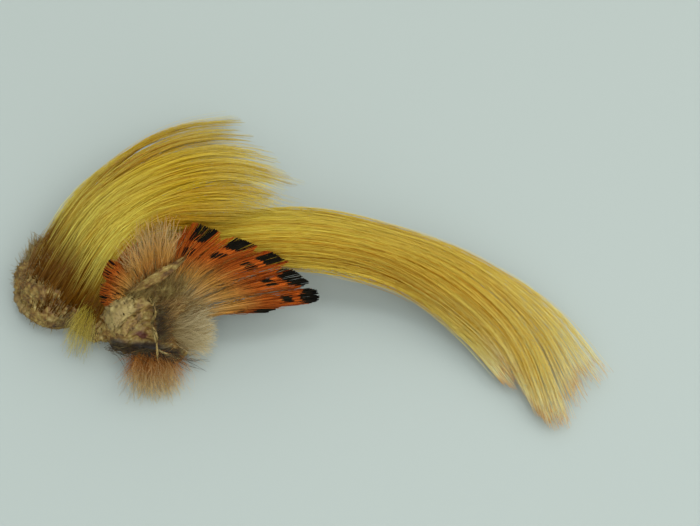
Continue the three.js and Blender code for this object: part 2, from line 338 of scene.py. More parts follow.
@dataclass(frozen=True)
class SkinFinish:
    """Dried bird skin: parchment-hard and nearly matt, blotched from cream to dark brown.

    The blotches are noise at the size of the stains. The grain of dried skin is about 0.1 mm, too fine to
    show here, so it is drawn coarser.
    """

    name: str = "bird skin, air dried"
    blotches: Stops = ((0.28, "#3c260a"), (0.43, "#704c14"), (0.57, "#967c3a"), (0.75, "#c0ac70"))
    parchment: str = "#a4945c"
    # The colour of painted shade in hollows and folds, and of dark hairs and stubs.
    dark_and_shade: str = "#20170d"
    blood: str = "#4d1a12"
    blotch_mm: float = 1.6
    blotch_detail: float = 6.0
    blotch_roughness: float = 0.65
    grain_mm: float = 0.35
    grain_detail: float = 4.0
    grain_strength: float = 0.58
    grain_depth_mm: float = 0.2
    roughness: float = 0.62

    def build(self) -> bpy.types.Material:
        """Makes the material.

        Returns:
            The new material.
        """
        material, tree, output = new_material(self.name)
        place = add_node(tree, "ShaderNodeTexCoord").outputs["Object"]
        blotch = add_node(
            tree,
            "ShaderNodeTexNoise",
            {
                "Vector": place,
                "Scale": 1 / (self.blotch_mm * MM),
                "Detail": self.blotch_detail,
                "Roughness": self.blotch_roughness,
            },
        )
        ramp = add_node(tree, "ShaderNodeValToRGB", {"Fac": blotch.outputs["Fac"]}, self.blotches)
        colour = ramp.outputs["Color"]
        # Parchment, painted shade in hollows and folds (also dark hairs and stubs), and blood, laid over the
        # blotches.
        looks = {Trait.PARCHMENT: self.parchment, Trait.DARK_AND_SHADE: self.dark_and_shade, Trait.BLOOD: self.blood}
        for trait, over in looks.items():
            inputs = {MIX_FACTOR: trait_socket(tree, trait), MIX_UNDER: colour, MIX_OVER: linear(over)}
            colour = add_node(tree, "ShaderNodeMix", inputs, data_type="RGBA").outputs[MIX_RESULT]
        grain = add_node(
            tree,
            "ShaderNodeTexNoise",
            {"Vector": place, "Scale": 1 / (self.grain_mm * MM), "Detail": self.grain_detail},
        )
        bump = add_node(
            tree,
            "ShaderNodeBump",
            {
                "Height": grain.outputs["Fac"],
                "Strength": self.grain_strength,
                "Distance": self.grain_depth_mm * MM,
            },
        )
        shader = add_node(
            tree,
            "ShaderNodeBsdfPrincipled",
            {
                "Base Color": colour,
                "Roughness": self.roughness,
                "IOR": SKIN_IOR,
                "Normal": bump.outputs["Normal"],
            },
        )
        tree.links.new(shader.outputs["BSDF"], output.inputs["Surface"])
        return material


@dataclass(frozen=True)
class PaperFinish:
    """A plain pale sheet: matt and a little cool, so that it has no sheen and the gold stands out."""

    name: str = "coated paper, matt"
    colour: str = "#b0bab5"
    roughness: float = 0.7

    def build(self) -> bpy.types.Material:
        """Makes the material.

        Returns:
            The new material.
        """
        material, tree, output = new_material(self.name)
        inputs = {"Base Color": linear(self.colour), "Roughness": self.roughness}
        shader = add_node(tree, "ShaderNodeBsdfPrincipled", inputs)
        tree.links.new(shader.outputs["BSDF"], output.inputs["Surface"])
        return material


# Grown smooth, with hardly any barbules to dull it: the fan looks like combed silk, dark at its roots.
FAN_SILK = BarbFinish(
    name="crest barbs of the fan, natural silk gloss",
    deep=((0.0, "#482402"), (0.1, "#6e3e04"), (0.22, "#c89608"), (0.6, "#c88c00"), (1.0, "#d0ac28")),
    pale=((0.0, "#6a3e06"), (0.09, "#925c0a"), (0.19, "#fbf070"), (0.65, "#f9da30"), (1.0, "#fff080")),
    roughness=0.22,
)
# Longer and smoother still: a sharper sheen, with pale ends, partly painted light where the ends catch it,
# that turn rusty at the very tips.
BRUSH_SILK = BarbFinish(
    name="crest barbs of the brush, natural silk gloss",
    deep=(
        (0.0, "#482804"), (0.18, "#c68c06"), (0.7, "#cc8604"), (0.9, "#e8b830"), (0.98, "#f0d070"),
        (1.0, "#c47434"),
    ),
    pale=(
        (0.0, "#6e480e"), (0.18, "#ecd648"), (0.7, "#f8de5c"), (0.9, "#fff088"), (0.98, "#fff8bc"),
        (1.0, "#f0c484"),
    ),
    roughness=0.15,
)
# Barbules hook these barbs together: a duller vane, buff at its foot and orange to its black-barred end.
TIPPET_VANE = BarbFinish(
    name="tippet barbs, barred",
    deep=((0.0, "#8a6428"), (0.36, "#6c3c0e"), (0.58, "#641e04"), (1.0, "#802a08")),
    pale=((0.0, "#f0d698"), (0.36, "#e6ac54"), (0.58, "#d87026"), (1.0, "#e4681a")),
    roughness=0.4,
    specular=0.15,
    bars=(
        (0.0, "#ffffff"), (0.39, "#ffffff"), (0.42, "#000000"), (0.55, "#000000"), (0.58, "#ffffff"),
        (0.76, "#ffffff"), (0.79, "#000000"),
    ),
)
# Down is too fine to shine: soft and matt, paler towards the ends of its fibres.
BUFF_DOWN = BarbFinish(
    name="buff down, matt",
    deep=((0.0, "#5e3c18"), (0.3, "#9c7f4a"), (1.0, "#c4b280")),
    pale=((0.0, "#b08248"), (0.3, "#d6bc80"), (1.0, "#e8dcb6")),
    roughness=0.7,
    specular=0.2,
)
# The same soft down, orange at its roots.
ORANGE_DOWN = BarbFinish(
    name="orange down, matt",
    deep=((0.0, "#642404"), (0.5, "#ac6018"), (1.0, "#ccb06c")),
    pale=((0.0, "#b8601a"), (0.5, "#de903c"), (1.0, "#e8d6a0")),
    roughness=0.7,
    specular=0.2,
)
# The same soft down, olive yellow throughout.
YELLOW_DOWN = BarbFinish(
    name="olive-yellow down, matt",
    deep=((0.0, "#866a12"), (0.5, "#bfa438"), (1.0, "#ccbc64")),
    pale=((0.0, "#b89c2c"), (0.5, "#e8d460"), (1.0, "#ece090")),
    roughness=0.7,
    specular=0.2,
)


class FeatherSurface:
    """The surface through guide feathers that a layer of feathers lies on."""

    # Points of the grid across and along the feathers, and of the fine curve that even steps are read from.
    ACROSS = 97
    ALONG = 129
    FINE = 800

    def __init__(self, guides: Iterable[Sequence[Sequence[float]]]) -> None:
        """Lays a grid of points on the surface.

        Args:
            guides: The guide feathers in order, each a run of points from root to tip.
        """
        curves = np.stack([self.evenly(np.array(guide, float)) for guide in guides])
        places = np.linspace(0, 1, self.ACROSS)
        self.points = np.stack([spline(curves[:, k], places) for k in range(self.ALONG)], axis=1)
        crosswise = np.gradient(self.points, axis=0)
        self.sides = unit(crosswise)
        self.stretch = np.linalg.norm(crosswise, axis=2, keepdims=True) * (self.ACROSS - 1)
        normals = unit(np.cross(np.gradient(self.points, axis=1), self.sides))
        self.normals = normals * np.sign(normals[..., 2].mean())
        steps = np.linalg.norm(np.diff(self.points, axis=1), axis=2)
        self.lengths = steps.sum(axis=1)

    def evenly(self, guide: Array) -> Array:
        """Steps evenly along the curve through a guide.

        Args:
            guide: The guide's points from root to tip.

        Returns:
            Points at even steps.
        """
        fine = spline(guide, np.linspace(0, 1, self.FINE))
        run = np.concatenate(([0], np.cumsum(np.linalg.norm(np.diff(fine, axis=0), axis=1))))
        wanted = np.linspace(0, run[-1], self.ALONG)
        return np.stack([np.interp(wanted, run, fine[:, axis]) for axis in range(3)], axis=1)

    def read(self, grid: Array, across: Array, along: Array) -> Array:
        """Reads a grid between its points, and in a straight line past its edges.

        Args:
            grid: Values on the surface's grid.
            across: Places over the guides, 0 to 1.
            along: Places from root to tip, 0 to 1.

        Returns:
            One value for each pair of places.
        """
        x = across * (self.ACROSS - 1)
        y = along * (self.ALONG - 1)
        i = np.clip(x.astype(int), 0, self.ACROSS - 2)
        j = np.clip(y.astype(int), 0, self.ALONG - 2)
        u = (x - i)[..., None]
        v = (y - j)[..., None]
        low = grid[i, j] * (1 - v) + grid[i, j + 1] * v
        high = grid[i + 1, j] * (1 - v) + grid[i + 1, j + 1] * v
        return low * (1 - u) + high * u

    def at(self, across: Array, along: Array) -> tuple[Array, Array, Array]:
        """Reads the surface.

        Args:
            across: Places over the guides, 0 to 1.
            along: Places from root to tip, 0 to 1.

        Returns:
            Points, their normals, and their directions across the feathers.
        """
        return (
            self.read(self.points, across, along),
            unit(self.read(self.normals, across, along)),
            unit(self.read(self.sides, across, along)),
        )


class MeshMaker:
    """Gathers points, faces and traits, and makes one mesh piece of them."""

    def __init__(self, *traits: Trait) -> None:
        """Starts an empty mesh.

        Args:
            traits: What its points carry.
        """
        self.points: list[Array] = []
        self.faces: list[Array] = []
        self.traits: dict[Trait, list[Array]] = {trait: [] for trait in traits}
        self.count = 0

    def add(self, points: Array, faces: Iterable[Array], traits: dict[Trait, Array | float]) -> None:
        """Adds points and faces.

        Args:
            points: Points in the layout, one a row.
            faces: Arrays of triangles or quads that number those points.
            traits: What the points carry, each trait one value or one for each point.
        """
        self.points.append(points)
        self.faces.extend(face + self.count for face in faces)
        for trait, values in self.traits.items():
            values.append(np.broadcast_to(traits.get(trait, 0.0), len(points)))
        self.count += len(points)

    def add_strands(
        self,
        paths: Array,
        ups: Array,
        radii: Array,
        traits: dict[Trait, Array],
        flatness: float = 1.0,
        sides: int = 3,
    ) -> None:
        """Adds closed strands.

        Args:
            paths: Strands by steps by xyz.
            ups: The direction that each step's flat side faces.
            radii: Strands by steps.
            traits: What the steps carry, strands by steps.
            flatness: Thickness as a share of width.
            sides: How many sides a strand has.
        """
        strands, rings = paths.shape[:2]
        lengthwise = unit(np.gradient(paths, axis=1))
        level = unit(np.cross(lengthwise, ups))
        ups = np.cross(level, lengthwise)
        angles = 2 * np.pi * np.arange(sides) / sides
        ring = np.cos(angles)[:, None] * level[:, :, None]
        ring = ring + flatness * np.sin(angles)[:, None] * ups[:, :, None]
        points = paths[:, :, None] + radii[..., None, None] * ring
        index = np.arange(strands * rings * sides).reshape(strands, rings, sides)
        turned = np.roll(index, -1, axis=2)
        quads = np.stack((index[:, :-1], index[:, 1:], turned[:, 1:], turned[:, :-1]), axis=-1)
        caps = np.concatenate((index[:, 0], index[:, -1, ::-1]))
        spread = {
            trait: np.broadcast_to(values[..., None], index.shape).ravel()
            for trait, values in traits.items()
        }
        self.add(points.reshape(-1, 3), (quads.reshape(-1, 4), caps), spread)

    def build(self, name: str, material: bpy.types.Material) -> bpy.types.Object:
        """Makes the mesh piece in the model's frame.

        Args:
            name: What the piece is called.
            material: Its finish.

        Returns:
            The new object.
        """
        points = (np.concatenate(self.points) - FOOTPRINT_MIDDLE) * MM
        loops = np.concatenate([face.ravel() for face in self.faces])
        corners = np.concatenate([np.full(len(face), face.shape[1]) for face in self.faces])
        mesh = bpy.data.meshes.new(name)
        mesh.vertices.add(len(points))
        mesh.vertices.foreach_set("co", points.astype(np.float32).ravel())
        mesh.loops.add(len(loops))
        mesh.loops.foreach_set("vertex_index", loops.astype(np.int32))
        mesh.polygons.add(len(corners))
        mesh.polygons.foreach_set("loop_start", (np.cumsum(corners) - corners).astype(np.int32))
        mesh.update(calc_edges=True)
        mesh.shade_smooth()
        for trait, values in self.traits.items():
            layer = mesh.attributes.new(trait.value, "FLOAT", "POINT")
            layer.data.foreach_set("value", np.concatenate(values).astype(np.float32))
        mesh.materials.append(material)
        piece = bpy.data.objects.new(name, mesh)
        bpy.context.scene.collection.objects.link(piece)
        return piece


def settle(piece: bpy.types.Object, node: str) -> None:
    """Puts a piece on the model's body in place of a node, and reports it.

    Args:
        piece: The dressed piece.
        node: The solid that it stands for.
    """
    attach(piece, "root")
    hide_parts(node)
    LOG.info("%s: %d faces for %s", piece.name, len(piece.data.polygons), node)


@dataclass
class FeatherLayer:
    """Feathers side by side on a surface. Lengths are shares of the guides, and other sizes millimetres.

    A real barb is about 0.04 mm thick, too fine to show here, so barbs are drawn coarser and fewer.
    """

    name: str
    surface: FeatherSurface
    count: int
    length: float
    drop: float
    barbs: int
    steps: int
    seed: int
    radius: float = 0.066
    slot: Slot = Slot.CREST

    def build(self, material: bpy.types.Material) -> None:
        """Makes every feather of the layer as a piece of its own.

        Args:
            material: The layer's finish.
        """
        rng = np.random.default_rng(self.seed)
        for index in range(self.count):
            node = f"{self.name}_{index + 1:02d}"
            maker = MeshMaker(Trait.ALONG, Trait.TONE, Trait.FROM_TIP)
            self.grow(maker, index, rng)
            settle(maker.build(f"{node}_barbs", material), node)

    def span(self, index: int) -> Span:
        """A feather's place across the surface, and half of its width there."""
        return (index + 0.5) / self.count, 0.5 / self.count

    def grow(self, maker: MeshMaker, index: int, rng: Random) -> None:
        """Adds one feather's barbs.

        Args:
            maker: The mesh that they go in.
            index: The feather's number in the layer, from 0.
            rng: The layer's random draws.
        """
        raise NotImplementedError


@dataclass(frozen=True)
class Wisps:
    """The wisps of one crest feather, with one value for each wisp.

    Roots and tips are places across the layer, ends are places along it, and levels are shares of its
    thickness. A tip tends to its lock's level, and the lock bends to the side by millimetres.
    """

    lock: Array
    root: Array
    tip: Array
    end: Array
    level: Array
    lock_level: Array
    lock_bend: Array
    tone: Array
    phase: Array
    cycles: Array
    stray: Array


@dataclass
class CrestLayer(FeatherLayer):
    """Crest feathers: long loose barbs that gather into wisps, and wisps into locks, towards the tip.

    The tuples of ends, tones and fullness hold one value for each feather, or one for all of them.
    """

    # Scatter from side to side, as shares of half a feather's width.
    ROOT_OVERLAP = 1.2
    WISP_SCATTER = 0.45
    BARB_SCATTER = 0.5
    EDGE_SCATTER = 0.4

    # Scatter of levels, as shares of the layer's thickness, and the levels of the barbs that lie on top.
    LEVEL_SCATTER = 0.4
    TOP_LEVELS = (0.45, 0.65)

    # How much locks, wisps and barbs differ in tone, and how much paler the topmost barbs are painted, as
    # painted glints.
    LOCK_TONE = 0.75
    WISP_TONE = 0.45
    BARB_TONE = 0.1
    TOP_GLINT_TONE = 0.45

    # How barbs wave, stray and curl.
    WAVE_CYCLES = (0.6, 1.4)
    WAVE_RISE = 0.4
    PHASE_SCATTER = 0.05
    STRAY_WISPS = 0.1
    CALM_STRAY = 0.25
    BARB_STRAY = 0.12
    CALM_BARB_STRAY = 0.05
    STRAY_RISE = 0.5
    STRAY_POWER = 1.5
    LOCK_CURLS = (0.2, 1.0)

    # How early wisps and barbs end, as beta draws, how far the early barbs get, and how thickness varies.
    WISP_ENDS = (1, 2)
    BARB_ENDS = (1, 3)
    BARB_END_SHARE = 0.5
    EARLY_ENDS = (0.6, 0.97)
    RADIUS_VARIES = 0.3

    # Where along a barb each change sets in and where it is complete, and the same across the layer.
    GATHERING = (0.0, 0.8)
    WAVING = (0.0, 0.6)
    BENDING = (0.15, 1.3)
    STRAYING = (0.2, 1.1)
    CURLING = (0.6, 1.05)
    SAGGING = (0.25, 0.8)
    WIDENING = (0.7, 0.95)
    SLIPPING = (0.0, 0.12)
    SLIPPING_BACK = (0.3, 0.75)
    FALLING = (0.3, 0.8)
    INNER_SIDE = (0.55, 1.0)

    # How roots sit in the skin: their depth, their move where the skin ends, and the barbs' lift above it.
    ROOT_DEPTH = 0.2
    EDGE_MOVE = 0.25
    ROOT_FADES = (0.5, 0.34, 0.34)
    NEAR_SKIN = 0.45
    LEAST_LIFT = 0.1
    LIFT_SCATTER = 0.8

    # How barbs gather: locks in a feather, barbs in a wisp, and how closely each follows what it belongs to.
    thickness: float = 1.7
    locks: int = 5
    wisp_size: int = 5
    gather: float = 0.5
    cling: float = 0.75

    # How far barbs wave, stray, bend and curl, in millimetres.
    wave: float = 0.55
    stray: float = 1.4
    bend: float = 1.0
    curl: float = 0.0

    # How unevenly barbs end, and how they thin towards their tips and are flattened.
    end_scatter: float = 0.12
    early: float = 0.0
    taper: float = 0.7
    flatness: float = 0.6

    # The shares of barbs that lie on top, painted paler as glints, and that are loose, and how far the loose
    # ones pass the edges.
    topmost: float = 0.12
    loose: float = 0.05
    loose_margin: float = 0.015

    # The skin that roots are moved over, how far forward and to which side, and how low they may sit.
    skin: "HeadSkin | None" = None
    root_patch: float = 0.0
    root_lean: Span = (-0.65, 0.3)
    lowest_root: float = 2.5

    # How far the inner side of the layer sags, falls and slips, in millimetres.
    sag: float = 0.0
    fall: float = 0.0
    slip: float = 0.0

    # How far barbs stay inside the first and the last edge, and what differs from feather to feather.
    inset: Span = (0.0, 0.0)
    ends: tuple[float, ...] = (1.0,)
    tones: tuple[float, ...] = (0.0,)
    fullness: tuple[float, ...] = (1.0,)

    def grow(self, maker: MeshMaker, index: int, rng: Random) -> None:
        """Adds one feather's barbs, as its class describes.

        Args:
            maker: The mesh that they go in.
            index: The feather's number in the layer, from 0.
            rng: The layer's random draws.
        """
        _, half = self.span(index)
        count = int(self.barbs * self.fullness[index % len(self.fullness)])
        wisps = self.draw_wisps(index, count // self.wisp_size, rng)
        share = np.linspace(0, 1, self.steps + 1)[None, :]

        # Which wisp each barb follows, and where it starts and ends.
        wisp = rng.integers(0, len(wisps.lock), count)
        root = wisps.root[wisp] + self.BARB_SCATTER * half * rng.normal(size=count)
        tip = wisps.tip[wisp] + (1 - self.cling) * self.BARB_SCATTER * half * rng.normal(size=count)
        cut = self.BARB_END_SHARE * self.end_scatter * rng.beta(*self.BARB_ENDS, count)
        whole = wisps.end[wisp] * (1 - cut)
        early = rng.random(count) < self.early
        end = whole * np.where(early, rng.uniform(*self.EARLY_ENDS, count), 1.0)
        across = root[:, None] + (tip - root)[:, None] * ease(share, *self.GATHERING)
        along = end[:, None] * share

        # How high it lies, and how it leaves its path from side to side.
        top = rng.random(count) < self.topmost
        level = wisps.level[wisp] + (1 - self.cling) * rng.normal(size=count) * self.LEVEL_SCATTER
        level = np.where(top, rng.uniform(*self.TOP_LEVELS, count), level)
        tip_level = level + self.gather * (wisps.lock_level[wisp] - level)
        height = self.thickness * (level[:, None] + (tip_level - level)[:, None] * share)
        phase = wisps.phase[wisp] + self.PHASE_SCATTER * rng.normal(size=count)
        turn = 2 * np.pi * (wisps.cycles[wisp][:, None] * share + phase[:, None])
        sway = self.wave * np.sin(turn) * ease(share, *self.WAVING)
        sway = sway + wisps.lock_bend[wisp][:, None] * np.sin(np.pi * ease(share, *self.BENDING))
        height = height + self.WAVE_RISE * self.wave * np.cos(turn) * ease(share, *self.WAVING)
        stray = self.stray * ease(share, *self.STRAYING) ** self.STRAY_POWER
        sway = sway + stray * (wisps.stray[wisp] + self.BARB_STRAY * rng.normal(size=count))[:, None]
        loose = rng.random(count) < self.loose
        single = np.where(loose, 1.0, self.CALM_BARB_STRAY) * rng.normal(size=count)
        sway = sway + stray * single[:, None]
        height = height + self.STRAY_RISE * stray * np.abs(single)[:, None]
        curl = self.curl * rng.uniform(*self.LOCK_CURLS, self.locks)[wisps.lock][wisp][:, None]
        sway = sway + curl * ease(share, *self.CURLING) ** 2
        inner = ease(across, *self.INNER_SIDE)
        height = height - self.sag * rng.random(count)[:, None] * inner * ease(share, *self.SAGGING)

        # The barb on the surface, inside the layer's edges, with its thickness and tone.
        stretch = self.surface.read(self.surface.stretch, np.clip(across, 0, 1), np.clip(along, 0, 1))
        margin = np.where(loose, self.loose_margin, -self.EDGE_SCATTER * half * rng.random(count))[:, None]
        first, last = self.inset
        last = last * (1 - ease(share, *self.WIDENING))
        across = np.clip(across + sway / stretch[..., 0], first - margin, 1 - last + margin)
        points, normals, sides = self.surface.at(across, along)
        slip = self.slip * inner * ease(share, *self.SLIPPING) * (1 - ease(share, *self.SLIPPING_BACK))
        slip = slip + self.fall * rng.random(count)[:, None] * inner * ease(share, *self.FALLING)
        paths = points + sides * slip[..., None] + normals * (height - self.drop)[..., None]
        if self.skin:
            paths = self.rooted(paths, share, rng)
        radii = tapered(rng, count, self.radius, self.taper * share**2, self.RADIUS_VARIES)
        paths[..., 2] = np.maximum(paths[..., 2], radii)
        # The barbs on top are painted paler, as painted glints.
        tone = wisps.tone[wisp] + self.BARB_TONE * rng.normal(size=count) + self.TOP_GLINT_TONE * top
        tone = np.clip(tone + self.tones[index % len(self.tones)], 0, 1)
        traits = {Trait.ALONG: along / whole[:, None], Trait.TONE: tone[:, None] * np.ones_like(share)}
        maker.add_strands(paths, normals, radii, traits, self.flatness)

    def draw_wisps(self, index: int, count: int, rng: Random) -> Wisps:
        """Draws the locks of a feather, and the wisps that gather into them.

        Args:
            index: The feather's number in the layer, from 0.
            count: How many wisps there are.
            rng: The layer's random draws.

        Returns:
            The wisps.
        """
        middle, half = self.span(index)
        feather_end = self.length * self.ends[index % len(self.ends)]
        lock_across = middle + half * rng.uniform(-1.0, 1.0, self.locks)
        lock_level = rng.uniform(-0.5, 0.5, self.locks)
        lock_end = feather_end * (1 - self.end_scatter * rng.random(self.locks))
        lock_tone = rng.random(self.locks)
        lock_bend = self.bend * rng.normal(size=self.locks)
        lock = rng.integers(0, self.locks, count)
        root = middle + half * rng.uniform(-self.ROOT_OVERLAP, self.ROOT_OVERLAP, count)
        tip = root + self.gather * (lock_across[lock] - root)
        tip = tip + self.WISP_SCATTER * half * rng.normal(size=count)
        level = rng.uniform(-0.5, 0.5, count)
        end = lock_end[lock] * (1 - self.end_scatter * rng.beta(*self.WISP_ENDS, count))
        tone = self.LOCK_TONE * lock_tone[lock] + self.WISP_TONE * rng.random(count)
        tone = np.clip(tone - (self.LOCK_TONE + self.WISP_TONE - 1) / 2, 0, 1)
        phase = rng.random(count)
        cycles = rng.uniform(*self.WAVE_CYCLES, count)
        stray = rng.normal(size=count)
        stray = stray * np.where(rng.random(count) < self.STRAY_WISPS, 1.0, self.CALM_STRAY)
        return Wisps(
            lock, root, tip, end, level, lock_level[lock], lock_bend[lock], tone, phase, cycles, stray
        )

    def rooted(self, paths: Array, share: Array, rng: Random) -> Array:
        """Moves the roots of barbs forward over the top of the forehead.

        Args:
            paths: Strands by steps by xyz.
            share: How far each step is from the root, 0 to 1.
            rng: The layer's random draws.

        Returns:
            The moved paths.
        """
        lean = rng.uniform(*self.root_lean, len(paths))
        away = np.stack((lean, np.full_like(lean, -1.0), np.zeros_like(lean)), axis=1)
        forward = (self.root_patch * rng.random(len(paths)))[:, None] * away
        past = self.skin.height_at(paths[:, 0] + forward) < self.lowest_root
        roots = paths[:, 0] + forward * np.where(past, self.EDGE_MOVE, 1.0)[:, None]
        roots[:, 2] = self.skin.height_at(roots) - self.ROOT_DEPTH
        move = roots - paths[:, 0]
        fades = np.stack([1 - ease(share, 0.0, end) for end in self.ROOT_FADES], axis=-1)
        paths = paths + move[:, None] * fades
        near = np.flatnonzero((share[0] > 0) & (share[0] < self.NEAR_SKIN))
        cover = self.skin.height_at(paths[:, near].reshape(-1, 3)).reshape(-1, len(near))
        lift = self.LEAST_LIFT + self.LIFT_SCATTER * rng.random(len(paths))[:, None]
        paths[:, near, 2] = np.maximum(paths[:, near, 2], cover + lift)
        return paths


@dataclass
class TippetLayer(FeatherLayer):
    """Tippet feathers: a shaft with barbs on both sides that run forward to a square tip.

    Short barbs at the foot stand loose. A downy feather has more, thinner and looser barbs of uneven length.
    """

    # A distance from the tip that is past every bar, in millimetres.
    UNBARRED = 40.0

    # The share of the barbs that are barred, and how far a vane gets through its run of colours.
    BARRED_SHARE = {Plumage.BARRED: 1.0, Plumage.FLECKED: 0.3, Plumage.DARK: 0.8, Plumage.DOWNY: 0.07}
    COLOUR_REACH = {Plumage.BUFF: 0.4, Plumage.FLECKED: 0.75}

    # Where barbs start and end along the feather.
    STARTS = (0.0, 0.5)
    VANE_RAGGED = 0.025
    DOWNY_END = 1.04
    DOWNY_RAGGED = 0.4
    FOOT_ENDS = (0.4, 0.9)
    CORNER_CUT = 0.09
    CORNER = (0.6, 0.95)

    # How barbs part from the shaft, as shares of half the vane's width.
    FOOT_SPREAD = 1.3
    FOOT_GATHER = 0.6
    VANE_GATHER = 0.2
    PARTING = (-0.1, 0.85)

    # How loose barbs are, and the heights and sway that follow, in millimetres.
    FOOT_FLUFF = 0.45
    DOWNY_FLUFF = 1.0
    VANE_FLUFF = 0.12
    FLUFF_HEIGHT = 0.9
    VANE_DROOP = 0.4
    SHINGLING = (0.2, 0.7)
    SWAY_CYCLES = (0.6, 1.8)
    VANE_SWAY = 0.08
    FLUFF_SWAY = 0.5

    # How many barbs a downy feather has and how thick barbs are, against the layer's own.
    DOWNY_BARBS = 1.2
    DOWNY_THIN = 0.42
    RADIUS_VARIES = 0.2
    BARB_TAPER = 0.3
    BARB_FLATNESS = 0.7
    SHAFT_SWELL = 2.2
    BAR_SWELL = 1.3

    # How uneven the bars are.
    TIP_SCATTER = 0.25
    EDGE_SCATTER = 0.14
    FLECK_SQUEEZE = 2.0
    LEAST_ROUNDING = 0.04
    LEAST_SHOULDER = 0.1

    # How tones differ between feathers and barbs.
    FEATHER_TONE = 0.2
    FOOT_TONE = 0.15
    PALE_TONE = 0.45
    DIMMING = 0.8
    DIMMED = (0.4, 0.65)
    DOWNY_COLOUR = 0.46
    DOWNY_FADE = 0.38
    DOWNY_FADING = (0.3, 0.9)

    # The shaft down the middle of a feather.
    SHAFT_REACH = 0.96
    SHAFT_RAISED = 0.05
    SHAFT_RADIUS = 0.13
    SHAFT_TAPER = 0.75
    SHAFT_COLOUR = 0.6

    slot: Slot = Slot.TIPPET

    # What each feather is like, how long it is, and how much lengths scatter.
    plumage: tuple[Plumage, ...] = ()
    ends: tuple[float, ...] = (1.0,)
    length_scatter: float = 0.05

    # The share of barbs that are short and stand at the foot, and how far feathers tilt over the next.
    foot: float = 0.42
    shingle: float = 0.45

    # Widths of the bars, as shares of half the vane's, and where the second begins and the last ends.
    bar_widths: tuple[float, ...] = (0.8,)
    second_width: float = 0.38
    second_bar: float = 4.8
    last_bar: float = 7.9

    # How far barbs stay inside the last edge, and the stiff pale barbs of a downy feather.
    inset: float = 0.0
    shaft_share: float = 0.1
    shaft_place: float = 0.3

    def grow(self, maker: MeshMaker, index: int, rng: Random) -> None:
        """Adds one feather's shaft and barbs, as its class describes.

        Args:
            maker: The mesh that they go in.
            index: The feather's number in the layer, from 0.
            rng: The layer's random draws.
        """
        kind = self.plumage[index]
        middle, half = self.span(index)
        downy = kind is Plumage.DOWNY
        count = int(self.barbs * (self.DOWNY_BARBS if downy else 1.0))
        share = np.linspace(0, 1, self.steps + 1)[None, :]

        # Where each barb starts and ends along the feather, and how it parts from the shaft.
        length = self.length * self.ends[index % len(self.ends)] * (1 - self.length_scatter * rng.random())
        start = rng.uniform(*self.STARTS, count)
        longest, ragged = (self.DOWNY_END, self.DOWNY_RAGGED) if downy else (1, self.VANE_RAGGED)
        reach = length * (longest - ragged * rng.random(count))
        short = rng.random(count) < self.foot
        end = np.where(short, rng.uniform(*self.FOOT_ENDS, count) * reach, reach)
        target = rng.uniform(-1.0, 1.0, count) * np.where(short, self.FOOT_SPREAD, 1.0)
        end = end * (1 - self.CORNER_CUT * ease(np.abs(target), *self.CORNER))
        along = start[:, None] + (end - start)[:, None] * share
        gathered = np.where(short, self.FOOT_GATHER, self.VANE_GATHER)[:, None]
        offset = target[:, None] * (gathered + (1 - gathered) * ease(along, *self.PARTING))
        across = np.minimum(middle + half * offset, 1 - self.inset)
        points, normals, sides = self.surface.at(across, along)

        # How high it lies, how it sways, and how thick it is.
        fluff = np.where(short, self.FOOT_FLUFF, self.DOWNY_FLUFF if downy else self.VANE_FLUFF)
        height = (self.FLUFF_HEIGHT * fluff * rng.normal(size=count))[:, None] * share
        height = height - self.VANE_DROOP * offset**2 - self.drop
        height = height + self.shingle * offset * ease(along, *self.SHINGLING)
        swing = (self.VANE_SWAY + self.FLUFF_SWAY * fluff)[:, None]
        sway = swing * waves(rng, count, self.SWAY_CYCLES, share) * share
        paths = points + sides * sway[..., None] + normals * height[..., None]
        radius = self.radius * (self.DOWNY_THIN if downy else 1.0)
        radii = tapered(rng, count, radius, self.BARB_TAPER * share**2, self.RADIUS_VARIES)

        # Where it is barred, and its tone and colours.
        from_tip = self.tip_distance(index, length, along, target, rng)
        bar_width = 0.0 if downy else self.bar_widths[index % len(self.bar_widths)]
        edge = np.where(from_tip < self.second_bar, bar_width, self.second_width)
        outside = np.abs(offset) > edge * (1 + self.EDGE_SCATTER * rng.normal(size=count))[:, None]
        bare = short | (rng.random(count) > self.BARRED_SHARE.get(kind, 0.0))
        from_tip = from_tip + self.UNBARRED * (outside | bare[:, None])
        tone = self.FEATHER_TONE * rng.random() + rng.random(count)
        tone = np.clip(tone - self.FEATHER_TONE / 2 + self.FOOT_TONE * short, 0, 1)
        if kind in (Plumage.BUFF, Plumage.DOWNY):
            tone = 1 - self.PALE_TONE + self.PALE_TONE * tone
        dimmed = self.DIMMING * ease(along, *self.DIMMED) if kind is Plumage.DARK else 0.0
        shafts = (rng.random(count) < self.shaft_share) & downy
        tone = np.where(shafts, 1.0, tone)
        radii = radii * np.where(shafts, self.SHAFT_SWELL, 1.0)[:, None]
        radii = radii * (1 + self.BAR_SWELL * (from_tip < self.last_bar))
        traits = {
            Trait.ALONG: np.where(shafts[:, None], self.shaft_place, self.colour_place(kind, along)),
            Trait.TONE: tone[:, None] * (np.ones_like(share) - dimmed),
            Trait.FROM_TIP: from_tip,
        }
        maker.add_strands(paths, normals, radii, traits, self.BARB_FLATNESS)
        self.add_shaft(maker, middle, share, length)

